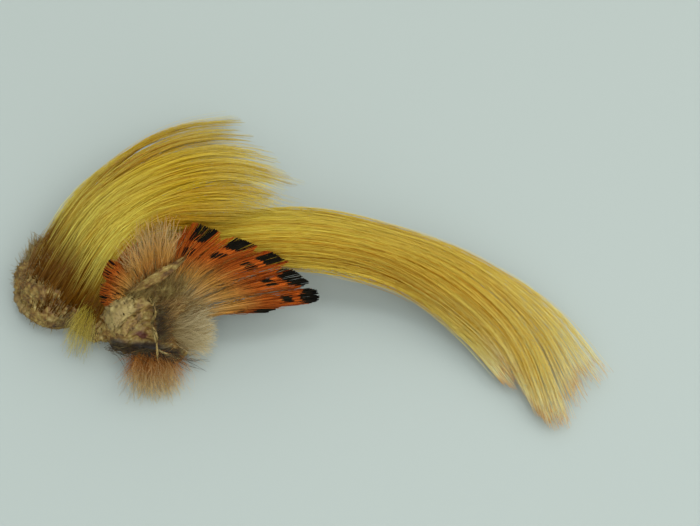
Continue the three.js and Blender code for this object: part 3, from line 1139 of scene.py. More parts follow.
    def tip_distance(self, index: int, length: float, along: Array, target: Array, rng: Random) -> Array:
        """How far from the tip each point of the barbs is, in millimetres, and further on a bar's shoulders.

        Args:
            index: The feather's number in the layer, from 0.
            length: The feather's length, as a share of the guides.
            along: The points' places from root to tip.
            target: How far out each barb ends, as a share of half the vane's width.
            rng: The layer's random draws.

        Returns:
            Distances, barbs by steps.
        """
        middle, _ = self.span(index)
        run = self.surface.lengths[int(middle * (self.surface.ACROSS - 1))]
        shoulder = self.bar_widths[index % len(self.bar_widths)] - self.second_width
        past = np.clip(np.abs(target) - self.second_width, 0, 1) / max(shoulder, self.LEAST_SHOULDER)
        rounding = 1 / np.sqrt(np.clip(1 - past**2, self.LEAST_ROUNDING, 1))
        scatter = self.TIP_SCATTER * rng.normal(size=len(target))
        squeeze = self.FLECK_SQUEEZE if self.plumage[index] is Plumage.FLECKED else 1.0
        return ((length - along) * run + scatter[:, None]) * rounding[:, None] * squeeze

    def colour_place(self, kind: Plumage, along: Array) -> Array:
        """Where in the vane's run of colours each point of a barb lies.

        Args:
            kind: What the vane is like.
            along: The points' places from root to tip.

        Returns:
            Places in the run of colours, 0 to 1.
        """
        if kind is Plumage.DOWNY:
            return self.DOWNY_COLOUR - self.DOWNY_FADE * ease(along, *self.DOWNY_FADING)
        return along * self.COLOUR_REACH.get(kind, 1.0)

    def add_shaft(self, maker: MeshMaker, middle: float, share: Array, length: float) -> None:
        """Adds the feather's shaft down its middle.

        Args:
            maker: The mesh that it goes in.
            middle: The feather's place across the surface.
            share: How far each step is from the root, 0 to 1.
            length: The feather's length, as a share of the guides.
        """
        along = self.SHAFT_REACH * length * share
        points, normals, _ = self.surface.at(np.full_like(along, middle), along)
        paths = points + normals * (self.SHAFT_RAISED - self.drop)
        traits = {
            Trait.ALONG: along * self.SHAFT_COLOUR,
            Trait.TONE: np.full_like(along, self.SHAFT_COLOUR),
            Trait.FROM_TIP: np.full_like(along, self.UNBARRED),
        }
        maker.add_strands(paths, normals, self.SHAFT_RADIUS * (1 - self.SHAFT_TAPER * share), traits)


@dataclass
class DownTuft:
    """A burst of fine down from its root on the skin. Points and spread are in millimetres."""

    # How far fibres reach, and how much less the outer ones do.
    LONGEST = 1.08
    OUTER_SHORT = 0.2

    # How fibres flare, wave and drift on their way out, and thin towards their ends.
    FLARE_POWER = 0.8
    WAVE_CYCLES = (0.8, 2.4)
    WAVE_SIZES = (0.15, 0.8)
    DRIFT_POWER = 1.5
    TAPER = 0.6

    # How much further along its run of colours an outer fibre is.
    OUTER_COLOUR = 0.25

    node: str
    root: Point
    tip: Point
    spread: float
    fibres: int
    slot: Slot
    seed: int
    steps: int = 6
    radius: float = 0.042

    # The tuft's height as a share of its width, its arch in millimetres, and its width at the root.
    flatness: float = 0.45
    arch: float = 0.0
    root_share: float = 0.45

    # How far back roots are set, how far fibres drift aside, and the shortest fibre as a share of the tuft.
    stagger: float = 0.0
    drift: float = 0.9
    shortest: float = 0.55

    def build(self, material: bpy.types.Material) -> None:
        """Makes the tuft.

        Args:
            material: The down's finish.
        """
        rng = np.random.default_rng(self.seed)
        count = self.fibres
        share = np.linspace(0, 1, self.steps + 1)[None, :]
        start = np.array(self.root)
        axis = np.array(self.tip) - start
        sideways = unit(np.array((-axis[1], axis[0], 0)))
        upward = unit(np.cross(axis, sideways))
        angle = rng.uniform(0, 2 * np.pi, count)
        out = np.sqrt(rng.random(count))
        radial = np.cos(angle)[:, None] * sideways + self.flatness * np.sin(angle)[:, None] * upward
        radial = radial * (self.spread * out)[:, None]
        reach = rng.uniform(self.shortest, self.LONGEST, count) * (1 - self.OUTER_SHORT * out**2)
        place = reach[:, None] * share - self.stagger * rng.random(count)[:, None] * (1 - share)
        flare = self.root_share + (1 - self.root_share) * share**self.FLARE_POWER
        paths = start + axis * place[..., None] + radial[:, None] * flare[..., None]
        paths[..., 2] += self.arch * np.sin(np.pi * share)
        for direction in (sideways, upward):
            wave = waves(rng, count, self.WAVE_CYCLES, share)
            swing = rng.uniform(*self.WAVE_SIZES, count)[:, None] * share
            drift = self.drift * rng.normal(size=count)[:, None] * share**self.DRIFT_POWER
            paths = paths + (wave * swing + drift)[..., None] * direction
        radii = tapered(rng, count, self.radius, self.TAPER * share)
        paths[..., 2] = np.maximum(paths[..., 2], radii)
        maker = MeshMaker(Trait.ALONG, Trait.TONE)
        traits = {
            Trait.ALONG: np.clip(place + self.OUTER_COLOUR * out[:, None], 0, 1),
            Trait.TONE: rng.random(count)[:, None] * np.ones_like(share),
        }
        maker.add_strands(paths, np.broadcast_to(upward, paths.shape), radii, traits)
        settle(maker.build(f"{self.node}_fibres", material), self.node)


@dataclass(frozen=True)
class DownBand:
    """A band of down on the tippets' surface, with places and length as shares of it.

    The drop below the surface is in millimetres.
    """

    first: float
    last: float
    length: float
    drop: float
    fibres: int
    root: float = 0.0


@dataclass
class NapeDown:
    """The down under the rosette, and over the skin at the foot of its long side."""

    # How the fibres of a band differ in length, place, height in millimetres, and wave.
    BAND_LENGTHS = (0.55, 1.0)
    BAND_SPREAD = 0.03
    BAND_HEIGHTS = (-0.9, 1.6)
    BAND_RISING = (0.0, 0.5)
    BAND_CYCLES = (1.0, 2.5)
    BAND_SWAYS = (0.1, 0.6)
    BAND_TAPER = 0.6
    BAND_COLOUR = 0.3

    # How the fibres over the skin scatter, lift off it and thin, in millimetres.
    COVER_SCATTER = 0.5
    COVER_LENGTHS = (0.5, 1.1)
    COVER_TURN = 1.1
    COVER_LIFTS = (0.1, 1.0)
    COVER_ROOT_LIFT = 0.2
    COVER_THICK = 1.3
    COVER_TAPER = 0.5
    COVER_COLOUR = 0.04
    COVER_COLOUR_RUN = 0.3

    surface: FeatherSurface
    skin: "HeadSkin"
    node: str = "nape_down"
    bands: tuple[DownBand, ...] = (
        DownBand(first=0.2, last=0.62, length=0.88, drop=2.4, fibres=700),
        DownBand(first=0.55, last=0.97, length=0.26, drop=-0.5, fibres=150, root=-0.15),
    )

    # The fibres over the skin: how many, the line that they root on, and which way they run.
    cover: int = 420
    cover_line: tuple[Point, Point] = ((-29.6, -18.4, 8.0), (-27.4, -25.2, 4.0))
    cover_run: Point = (8.0, 3.4, 3.0)
    steps: int = 6
    radius: float = 0.045
    seed: int = 71

    def build(self, material: bpy.types.Material) -> None:
        """Makes the down.

        Args:
            material: The down's finish.
        """
        rng = np.random.default_rng(self.seed)
        maker = MeshMaker(Trait.ALONG, Trait.TONE)
        for band in self.bands:
            self.add_band(maker, band, rng)
        self.add_cover(maker, rng)
        settle(maker.build(f"{self.node}_fibres", material), self.node)

    def add_band(self, maker: MeshMaker, band: DownBand, rng: Random) -> None:
        """Adds one band of fibres.

        Args:
            maker: The mesh that they go in.
            band: Where they grow.
            rng: The down's random draws.
        """
        count = band.fibres
        share = np.linspace(0, 1, self.steps + 1)[None, :]
        root = rng.uniform(band.first, band.last, count)
        reach = band.length * rng.uniform(*self.BAND_LENGTHS, count)
        across = root[:, None] + self.BAND_SPREAD * rng.normal(size=count)[:, None] * share
        along = band.root + (reach - band.root)[:, None] * share
        points, normals, sides = self.surface.at(across, along)
        height = rng.uniform(*self.BAND_HEIGHTS, count)[:, None] * ease(share, *self.BAND_RISING)
        wave = waves(rng, count, self.BAND_CYCLES, share)
        sway = wave * rng.uniform(*self.BAND_SWAYS, count)[:, None] * share
        paths = points + sides * sway[..., None] + normals * (height - band.drop)[..., None]
        radii = tapered(rng, count, self.radius, self.BAND_TAPER * share)
        traits = {
            Trait.ALONG: self.BAND_COLOUR + (1 - self.BAND_COLOUR) * reach[:, None] * share,
            Trait.TONE: rng.random(count)[:, None] * np.ones_like(share),
        }
        maker.add_strands(paths, normals, radii, traits)

    def add_cover(self, maker: MeshMaker, rng: Random) -> None:
        """Adds fibres that lie over the skin, from its torn edge to the foot of the tippets.

        Args:
            maker: The mesh that they go in.
            rng: The down's random draws.
        """
        count = self.cover
        share = np.linspace(0, 1, self.steps + 1)[None, :]
        place = rng.random(count)[:, None]
        first, last = np.array(self.cover_line)
        roots = first * (1 - place) + last * place + self.COVER_SCATTER * rng.normal(size=(count, 3))
        runs = np.array(self.cover_run) * rng.uniform(*self.COVER_LENGTHS, (count, 1))
        runs = runs + self.COVER_TURN * rng.normal(size=(count, 3))
        paths = roots[:, None] + runs[:, None] * share[..., None]
        ground = self.skin.height_at(paths.reshape(-1, 3)).reshape(paths.shape[:2])
        lift = rng.uniform(*self.COVER_LIFTS, count)[:, None] * (self.COVER_ROOT_LIFT + share)
        paths[..., 2] = np.maximum(paths[..., 2], ground + lift)
        radii = tapered(rng, count, self.COVER_THICK * self.radius, self.COVER_TAPER * share)
        traits = {
            Trait.ALONG: self.COVER_COLOUR + self.COVER_COLOUR_RUN * share * rng.random(count)[:, None],
            Trait.TONE: rng.random(count)[:, None] * np.ones_like(share),
        }
        maker.add_strands(paths, np.broadcast_to(UP, paths.shape), radii, traits)


@dataclass(frozen=True)
class SkinLook:
    """How strongly the skin is parchment, darkened (painted shade in hollows and folds, and dark hairs and
    stubs) and blood at a place, each 0 to 1.
    """

    parchment: float = 0.0
    dark_and_shade: float = 0.0
    blood: float = 0.0

    def traits(self) -> dict[Trait, float]:
        """The look as traits of a mesh's points."""
        return {Trait.PARCHMENT: self.parchment, Trait.DARK_AND_SHADE: self.dark_and_shade, Trait.BLOOD: self.blood}


@dataclass(frozen=True)
class SkinSpot:
    """A patch of the skin with a look of its own, with its middle and radii in millimetres."""

    look: SkinLook
    centre: Point
    radii: Point


@dataclass(frozen=True)
class SkinSheet:
    """A torn scrap or fold of skin: rows of points across it, in millimetres."""

    # Cycles of the rough waves that tear the edges, how fast they weaken, and their height added up.
    TEAR_CYCLES = (1.3, 2.9, 5.3, 9.7, 17.0)
    TEAR_POWER = 0.6
    TEAR_HEIGHT = 1.6

    # How far folds slant across the sheet, one way and the other.
    FOLD_SLANT = 0.6
    CROSS_SLANT = 0.3

    # How thin the sheet is at its edge, and how far in it is whole.
    EDGE_THIN = 0.35
    EDGE_SHARE = 0.12

    look: SkinLook
    rows: tuple[tuple[Point, ...], ...]

    # Its thickness and the height of its wrinkles in millimetres, how far its edges are torn as a share of
    # the sheet, and how many points it has along a side.
    thickness: float = 0.3
    ragged: float = 0.08
    wrinkle: float = 0.25
    cells: int = 28

    def add_to(self, maker: MeshMaker, rng: Random) -> None:
        """Adds the scrap to a mesh as a closed shell with ragged edges.

        Args:
            maker: The mesh.
            rng: The skin's random draws.
        """
        places = np.linspace(0, 1, self.cells)
        edges = [self.wander(places, rng) for _ in range(4)]
        across, along = np.meshgrid(places, places, indexing="ij")
        across = across * (1 + edges[0] + edges[1])[None, :] - edges[0][None, :]
        along = along * (1 + edges[2] + edges[3])[:, None] - edges[2][:, None]
        points, normals, _ = FeatherSurface(self.rows).at(across, along)
        folds = self.wander(across + self.FOLD_SLANT * along, rng)
        folds = folds + self.wander(along - self.CROSS_SLANT * across, rng)
        points = points + normals * (folds * self.wrinkle / self.ragged)[..., None]
        inset = np.minimum(places, 1 - places)
        inset = np.minimum(inset[:, None], inset[None, :])
        half = self.EDGE_THIN + (1 - self.EDGE_THIN) * ease(inset, 0, self.EDGE_SHARE)
        half = self.thickness / 2 * half
        top = points + normals * half[..., None]
        bottom = points - normals * half[..., None]
        shell = np.concatenate((top.reshape(-1, 3), bottom.reshape(-1, 3)))
        shell[:, 2] = np.maximum(shell[:, 2], 0)
        maker.add(shell, self.shell_faces(), self.look.traits())

    def wander(self, places: Array, rng: Random) -> Array:
        """A rough wave over places, about as high as the edge is ragged.

        Args:
            places: Where to read it.
            rng: The skin's random draws.

        Returns:
            One height for each place.
        """
        wave = np.zeros_like(places)
        for cycles in self.TEAR_CYCLES:
            wave = wave + np.sin(2 * np.pi * (cycles * places + rng.random())) / cycles**self.TEAR_POWER
        return self.ragged * wave / self.TEAR_HEIGHT

    def shell_faces(self) -> tuple[Array, Array, Array]:
        """The faces of the shell.

        Returns:
            Quads of its top, its bottom and its rim.
        """
        grid = np.arange(self.cells**2).reshape(self.cells, self.cells)
        top = np.stack((grid[:-1, :-1], grid[:-1, 1:], grid[1:, 1:], grid[1:, :-1]), axis=-1).reshape(-1, 4)
        bottom = top[:, ::-1] + self.cells**2
        edge = np.concatenate((grid[0, :-1], grid[:-1, -1], grid[-1, :0:-1], grid[:0:-1, 0]))
        under = edge + self.cells**2
        rim = np.stack((edge, under, np.roll(under, -1), np.roll(edge, -1)), axis=-1)
        return top, bottom, rim


@dataclass(frozen=True)
class HairPatch:
    """Dark hairs and matted down on the skin. Sizes are in millimetres.

    They root along the line from first to last, scattered off it. All run one way, and each turns off it by
    a share of the run's length.
    """

    # How hairs differ in length, bend, thickness and depth of colour.
    LENGTHS = (0.5, 1.1)
    BEND = 0.3
    RADII = (0.6, 1.3)
    TAPER = 0.6
    WEIGHTS = (0.6, 1.0)

    look: SkinLook
    first: Point
    last: Point
    scatter: float
    run: Point
    turn: float
    count: int
    radius: float = 0.05
    steps: int = 6

    def add_to(self, maker: MeshMaker, rng: Random) -> None:
        """Adds the hairs to a mesh.

        Args:
            maker: The mesh.
            rng: The skin's random draws.
        """
        share = np.linspace(0, 1, self.steps + 1)[None, :]
        place = rng.random(self.count)[:, None]
        roots = np.array(self.first) * (1 - place) + np.array(self.last) * place
        roots = roots + self.scatter * rng.normal(size=roots.shape)
        length = np.linalg.norm(self.run)
        runs = np.array(self.run) * rng.uniform(*self.LENGTHS, (self.count, 1))
        runs = runs + self.turn * length * rng.normal(size=roots.shape)
        bends = self.BEND * length * rng.normal(size=roots.shape)
        paths = roots[:, None] + runs[:, None] * share[..., None] + bends[:, None] * (share**2)[..., None]
        radii = self.radius * rng.uniform(*self.RADII, self.count)[:, None] * (1 - self.TAPER * share)
        paths[..., 2] = np.maximum(paths[..., 2], radii)
        ups = np.broadcast_to(unit(np.cross(runs, bends))[:, None], paths.shape)
        weight = rng.uniform(*self.WEIGHTS, self.count)[:, None] * np.ones_like(share)
        traits = {trait: strength * weight for trait, strength in self.look.traits().items()}
        maker.add_strands(paths, ups, radii, traits)


@dataclass
class HeadSkin:
    """The strip of dried head skin, with its follicles, folds, scraps and stubs of quills."""

    # A height above the whole crest, to look down on the skin from.
    OVERHEAD = 100.0

    # The forehead's follicles: how much lumps shift them, how high they are and where they turn to pits.
    LUMP_SHIFT = 0.9
    FOLLICLE_HEIGHT = 0.75
    FOLLICLE_EDGE = 0.45

    # The nape's folds: their sizes in millimetres along x, y and z, their noise, and its middle value.
    FOLD_SIZES = (4.5, 2.4, 2.0)
    FOLD_NOISE = (0.9, 2.1, 4, 0.9, 2.0)
    FOLD_MIDDLE = 1.2

    # Where the nape begins along x, over what stretch, and how far up the skin is flat from the floor.
    NAPE_START = -44.0
    NAPE_STRETCH = 6.0
    FLAT_FOOT = 1.2

    # How far from a spot's middle its look fades.
    SPOT_FADE = (0.6, 1.1)

    # The rolled rim: its steps and sides, how its line and thickness wander, and its blunt ends.
    RIM_STEPS = 60
    RIM_SIDES = 12
    RIM_WANDER = 0.045
    RIM_UNEVEN = 0.12
    RIM_BLUNT = 0.02

    # The stubs of quills: where the forehead is, and how they differ.
    FOREHEAD_END = -41.0
    FOREHEAD_FOOT = 1.5
    STUB_STEPS = 4
    STUB_SHORTEST = 0.4
    STUB_LENGTH = 1.5
    STUB_LENGTHS = (1.5, 4)
    STUB_SWEEP = (0.1, 0.3, 0.2)
    STUB_SCATTER = 0.6
    STUB_BEND = 0.25
    STUB_RADII = (0.03, 0.08)
    STUB_TAPER = 0.5
    STUB_PARCHMENT = 0.7
    STUB_DARK_SHARE = 0.2
    STUB_DARK = 0.6

    node: str = "head_skin"
    seed: int = 5

    # Sizes in millimetres: the mesh's cells, the follicles, the lumps between them and the depth of folds.
    voxel: float = 0.26
    follicle: float = 0.9
    lump: float = 2.6
    fold: float = 1.0

    # How many stubs of quills there are, and the rolled rim at the front of the forehead.
    stubs: int = 2300
    rim: tuple[Point, ...] = (
        (-59.8, -7.6, 4.0),
        (-59.4, -10.4, 3.0),
        (-57.6, -13.2, 2.2),
        (-55.0, -15.0, 1.9),
        (-53.0, -15.8, 1.5),
    )
    rim_radius: float = 1.15
    rim_look: SkinLook = SkinLook(parchment=0.3, blood=0.15)

    # The pale flap, painted shade in the hollows and folds, and the spot of dried blood.
    spots: tuple[SkinSpot, ...] = (
        SkinSpot(SkinLook(parchment=0.3), (-36.0, -21.5, 10.0), (4.5, 3.0, 4.0)),
        SkinSpot(SkinLook(dark_and_shade=0.4), (-49.0, -15.6, 3.0), (6.0, 3.0, 3.0)),
        SkinSpot(SkinLook(dark_and_shade=0.35), (-52.0, -8.0, 7.5), (5.0, 6.0, 3.0)),
        SkinSpot(SkinLook(dark_and_shade=0.5), (-27.6, -21.5, 9.5), (1.9, 4.0, 4.5)),
        SkinSpot(SkinLook(dark_and_shade=1.0), (-33.0, -26.0, 4.5), (9.5, 3.0, 4.0)),
        SkinSpot(SkinLook(dark_and_shade=0.6), (-33.6, -25.2, 6.8), (5.0, 1.8, 1.8)),
        SkinSpot(SkinLook(dark_and_shade=0.9), (-29.4, -22.0, 10.5), (1.1, 4.0, 4.0)),
        SkinSpot(SkinLook(dark_and_shade=0.9), (-38.5, -24.4, 5.0), (3.6, 1.8, 3.0)),
        SkinSpot(SkinLook(blood=0.9), (-33.1, -23.6, 8.0), (1.5, 1.3, 1.3)),
    )

    # The flap over the nape, the pale scrap on it, the fold up to the rosette, the torn edge, and a shred.
    sheets: tuple[SkinSheet, ...] = (
        SkinSheet(
            SkinLook(parchment=0.12),
            (
                ((-38.2, -17.4, 12.2), (-35.0, -17.0, 13.2), (-31.8, -17.0, 13.4)),
                ((-40.8, -18.6, 9.6), (-36.2, -20.2, 12.4), (-31.4, -19.4, 12.6)),
                ((-39.6, -22.6, 9.0), (-36.2, -22.8, 10.8), (-33.2, -22.2, 10.6)),
                ((-38.4, -24.0, 8.0), (-36.8, -24.2, 8.8), (-35.0, -23.6, 9.1)),
            ),
            ragged=0.12,
            wrinkle=0.45,
        ),
        SkinSheet(
            SkinLook(parchment=0.5),
            (
                ((-39.4, -18.0, 12.1), (-37.2, -17.9, 13.4), (-34.8, -17.9, 13.9)),
                ((-40.6, -19.4, 10.6), (-37.6, -20.4, 12.9), (-34.2, -20.2, 13.5)),
                ((-39.6, -22.4, 10.3), (-37.6, -22.6, 11.8), (-35.2, -22.0, 12.2)),
                ((-39.2, -23.6, 9.6), (-37.8, -23.8, 10.9), (-36.4, -23.2, 11.3)),
            ),
            ragged=0.14,
        ),
        SkinSheet(
            SkinLook(),
            (
                ((-35.8, -17.9, 13.8), (-32.8, -17.6, 15.0), (-29.8, -16.8, 16.0), (-26.8, -15.2, 17.2),
                 (-24.6, -13.6, 18.8)),
                ((-35.8, -17.2, 14.4), (-33.2, -16.6, 16.0), (-30.4, -15.4, 17.3), (-27.4, -14.0, 18.6),
                 (-24.4, -12.8, 19.5)),
            ),
            thickness=0.8,
            ragged=0.12,
            wrinkle=0.3,
        ),
        SkinSheet(
            SkinLook(parchment=0.2),
            (
                ((-31.4, -18.8, 12.8), (-30.3, -20.4, 11.5), (-31.1, -22.6, 10.2), (-30.3, -24.4, 9.1),
                 (-30.1, -25.6, 8.4)),
                ((-30.7, -19.0, 13.1), (-29.9, -20.7, 11.7), (-30.6, -23.0, 10.4), (-29.8, -24.7, 9.4),
                 (-29.7, -25.8, 8.7)),
            ),
            thickness=0.2,
            ragged=0.4,
            wrinkle=0.2,
        ),
        SkinSheet(
            SkinLook(parchment=0.6),
            (
                ((-29.2, -26.8, 6.9), (-27.6, -27.0, 5.8), (-26.0, -26.7, 4.4)),
                ((-29.0, -26.9, 7.3), (-27.4, -27.0, 6.2), (-25.9, -26.7, 4.8)),
            ),
            thickness=0.2,
            ragged=0.2,
            wrinkle=0.1,
            cells=24,
        ),
    )

    # Matted down above the flap, dark hairs below and beside it, stiff down on the brow, and stray hairs.
    hairs: tuple[HairPatch, ...] = (
        HairPatch(
            SkinLook(parchment=0.15), (-35.0, -18.6, 12.8), (-25.2, -17.0, 13.4),
            scatter=0.6, run=(2.4, 2.6, 3.2), turn=0.2, count=420,
        ),
        HairPatch(
            SkinLook(dark_and_shade=0.95), (-40.0, -24.0, 4.6), (-28.0, -26.6, 6.0),
            scatter=0.5, run=(4.5, -0.8, -0.4), turn=0.14, count=260,
        ),
        HairPatch(
            SkinLook(dark_and_shade=0.85), (-29.6, -19.6, 12.3), (-29.0, -25.2, 8.0),
            scatter=0.4, run=(2.4, 0.5, 0.5), turn=0.3, count=220,
        ),
        HairPatch(
            SkinLook(parchment=0.45), (-57.6, -3.5, 6.2), (-55.4, 1.6, 6.4),
            scatter=0.7, run=(-0.4, 1.7, 1.1), turn=0.2, count=320, radius=0.08,
        ),
        HairPatch(
            SkinLook(dark_and_shade=0.9), (-26.0, -25.6, 3.0), (-24.5, -24.8, 2.0),
            scatter=0.4, run=(3.2, -1.8, 0.2), turn=0.16, count=14,
        ),
    )

    # The skin's surface, to look down on, once it is built.
    tree: BVHTree | None = field(default=None, init=False, repr=False)

    def build(self, solid: bpy.types.Object, material: bpy.types.Material) -> None:
        """Makes the skin from its solid.

        Args:
            solid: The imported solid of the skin.
            material: The skin's finish.
        """
        rng = np.random.default_rng(self.seed)
        points, faces = self.fine_surface(solid)
        points = self.wrinkled(points, faces)
        corners = [face for group in faces for face in group.tolist()]
        self.tree = BVHTree.FromPolygons(points.tolist(), corners)
        maker = MeshMaker(Trait.PARCHMENT, Trait.DARK_AND_SHADE, Trait.BLOOD)
        maker.add(points, faces, self.spotted(points))
        for extra in (*self.sheets, *self.hairs):
            extra.add_to(maker, rng)
        self.add_rim(maker, rng)
        self.add_stubs(maker, points, self.point_normals(points, faces), rng)
        settle(maker.build("head_skin_dried", material), self.node)

    def height_at(self, points: Array) -> Array:
        """How high the top of the skin is over points.

        Args:
            points: Points in the layout, one a row.

        Returns:
            One height for each point, or 0 where there is no skin.
        """
        down = -Vector(UP)
        hits = (self.tree.ray_cast(Vector((x, y, self.OVERHEAD)), down)[0] for x, y, _ in points)
        return np.array([hit.z if hit else 0.0 for hit in hits])

    def fine_surface(self, solid: bpy.types.Object) -> tuple[Array, list[Array]]:
        """The solid's surface in small even quads.

        Args:
            solid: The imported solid.

        Returns:
            Its points in the layout, and its faces.
        """
        copy = bpy.data.objects.new("skin_draft", solid.data.copy())
        bpy.context.scene.collection.objects.link(copy)
        remesh = copy.modifiers.new("even quads", "REMESH")
        remesh.mode = "VOXEL"
        remesh.voxel_size = self.voxel * MM
        bpy.context.view_layer.update()
        shape = copy.evaluated_get(bpy.context.evaluated_depsgraph_get())
        mesh = bpy.data.meshes.new_from_object(shape)
        points = np.empty(len(mesh.vertices) * 3, np.float32)
        mesh.vertices.foreach_get("co", points)
        corners = np.array([len(face.vertices) for face in mesh.polygons])
        loops = np.empty(len(mesh.loops), np.int32)
        mesh.loops.foreach_get("vertex_index", loops)
        starts = np.cumsum(corners) - corners
        faces = [loops[starts[corners == size][:, None] + np.arange(size)] for size in np.unique(corners)]
        bpy.data.objects.remove(copy)
        return points.reshape(-1, 3) / MM + FOOTPRINT_MIDDLE, faces

    def wrinkled(self, points: Array, faces: list[Array]) -> Array:
        """Raises follicles on the forehead and folds on the nape.

        Args:
            points: The smooth surface's points.
            faces: Its faces.

        Returns:
            The moved points.
        """
        normals = self.point_normals(points, faces)
        lift = np.empty(len(points))
        for k, point in enumerate(points):
            place = Vector(point)
            lump = self.LUMP_SHIFT * noise.noise(place / self.lump)
            nearest = noise.voronoi(place / self.follicle)[0][0] - lump
            folded = Vector(point / self.FOLD_SIZES)
            fold = noise.ridged_multi_fractal(folded, *self.FOLD_NOISE) - self.FOLD_MIDDLE
            nape = min(1.0, max(0.0, (point[0] - self.NAPE_START) / self.NAPE_STRETCH))
            follicle = self.FOLLICLE_HEIGHT * (self.FOLLICLE_EDGE - nearest)
            lift[k] = (1 - nape) * follicle + nape * self.fold * fold
        rise = ease(points[:, 2], 0.0, self.FLAT_FOOT)
        moved = points + normals * (lift * rise)[:, None]
        moved[:, 2] = np.maximum(moved[:, 2], 0)
        return moved

    def point_normals(self, points: Array, faces: list[Array]) -> Array:
        """The outward normals of a surface's points.

        Args:
            points: The surface's points.
            faces: Its faces.

        Returns:
            One normal for each point.
        """
        normals = np.zeros_like(points)
        for group in faces:
            across = points[group[:, 2]] - points[group[:, 0]]
            along = points[group[:, -1]] - points[group[:, 1]]
            turned = np.cross(across, along)
            for corner in group.T:
                np.add.at(normals, corner, turned)
        return unit(normals)

    def spotted(self, points: Array) -> dict[Trait, Array]:
        """How strongly each spot's look shows at each point.

        Args:
            points: The skin's points.

        Returns:
            The traits of the points.
        """
        traits = {trait: np.zeros(len(points)) for trait in SkinLook().traits()}
        for spot in self.spots:
            away = np.linalg.norm((points - np.array(spot.centre)) / np.array(spot.radii), axis=1)
            for trait, strength in spot.look.traits().items():
                traits[trait] = np.maximum(traits[trait], strength * (1 - ease(away, *self.SPOT_FADE)))
        return traits

    def add_rim(self, maker: MeshMaker, rng: Random) -> None:
        """Adds the rolled edge of the skin along the front of the forehead.

        Args:
            maker: The mesh that it goes in.
            rng: The skin's random draws.
        """
        share = np.linspace(0, 1, self.RIM_STEPS)
        line = spline(np.array(self.rim), share)
        line = line + self.RIM_WANDER * np.cumsum(rng.normal(size=line.shape), axis=0)
        radii = self.rim_radius * np.sqrt(np.sin(np.pi * np.clip(share, self.RIM_BLUNT, 1 - self.RIM_BLUNT)))
        radii = radii * (1 + self.RIM_UNEVEN * rng.normal(size=len(line)))
        line[:, 2] = np.maximum(line[:, 2], radii)
        ups = np.broadcast_to(UP, (1, *line.shape))
        traits = {trait: np.full((1, len(line)), value) for trait, value in self.rim_look.traits().items()}
        maker.add_strands(line[None], ups, radii[None], traits, sides=self.RIM_SIDES)

    def add_stubs(self, maker: MeshMaker, points: Array, normals: Array, rng: Random) -> None:
        """Adds short stubs of quills and down over the forehead.

        Args:
            maker: The mesh that they go in.
            points: The skin's points.
            normals: Their outward normals.
            rng: The skin's random draws.
        """
        count = self.stubs
        forehead = (points[:, 0] < self.FOREHEAD_END) & (points[:, 2] > self.FOREHEAD_FOOT)
        chosen = rng.choice(np.flatnonzero(forehead), count)
        share = np.linspace(0, 1, self.STUB_STEPS)[None, :]
        reach = (self.STUB_SHORTEST + self.STUB_LENGTH * rng.beta(*self.STUB_LENGTHS, count))[:, None]
        lean = normals[chosen] + np.array(self.STUB_SWEEP) + self.STUB_SCATTER * rng.normal(size=(count, 3))
        lean = unit(lean)
        bend = self.STUB_BEND * rng.normal(size=(count, 3))
        paths = (
            points[chosen][:, None]
            + (lean * reach)[:, None] * share[..., None]
            + (bend * reach)[:, None] * (share**2)[..., None]
        )
        radii = rng.uniform(*self.STUB_RADII, count)[:, None] * (1 - self.STUB_TAPER * share)
        paths[..., 2] = np.maximum(paths[..., 2], radii)
        ups = np.broadcast_to(unit(np.cross(lean, bend))[:, None], paths.shape)
        parchment = rng.uniform(0.0, self.STUB_PARCHMENT, count)[:, None]
        dark = np.where(rng.random(count) < self.STUB_DARK_SHARE, self.STUB_DARK, 0.0)[:, None]
        ones = np.ones_like(share)
        traits = {Trait.PARCHMENT: parchment * ones, Trait.DARK_AND_SHADE: dark * ones, Trait.BLOOD: 0 * radii}
        maker.add_strands(paths, ups, radii, traits)


@dataclass(frozen=True)
class Softbox:
    """A square soft light: its place and side in millimetres, its power in watts and its sRGB colour."""

    name: str
    spot: Point
    side: float
    watts: float
    colour: str


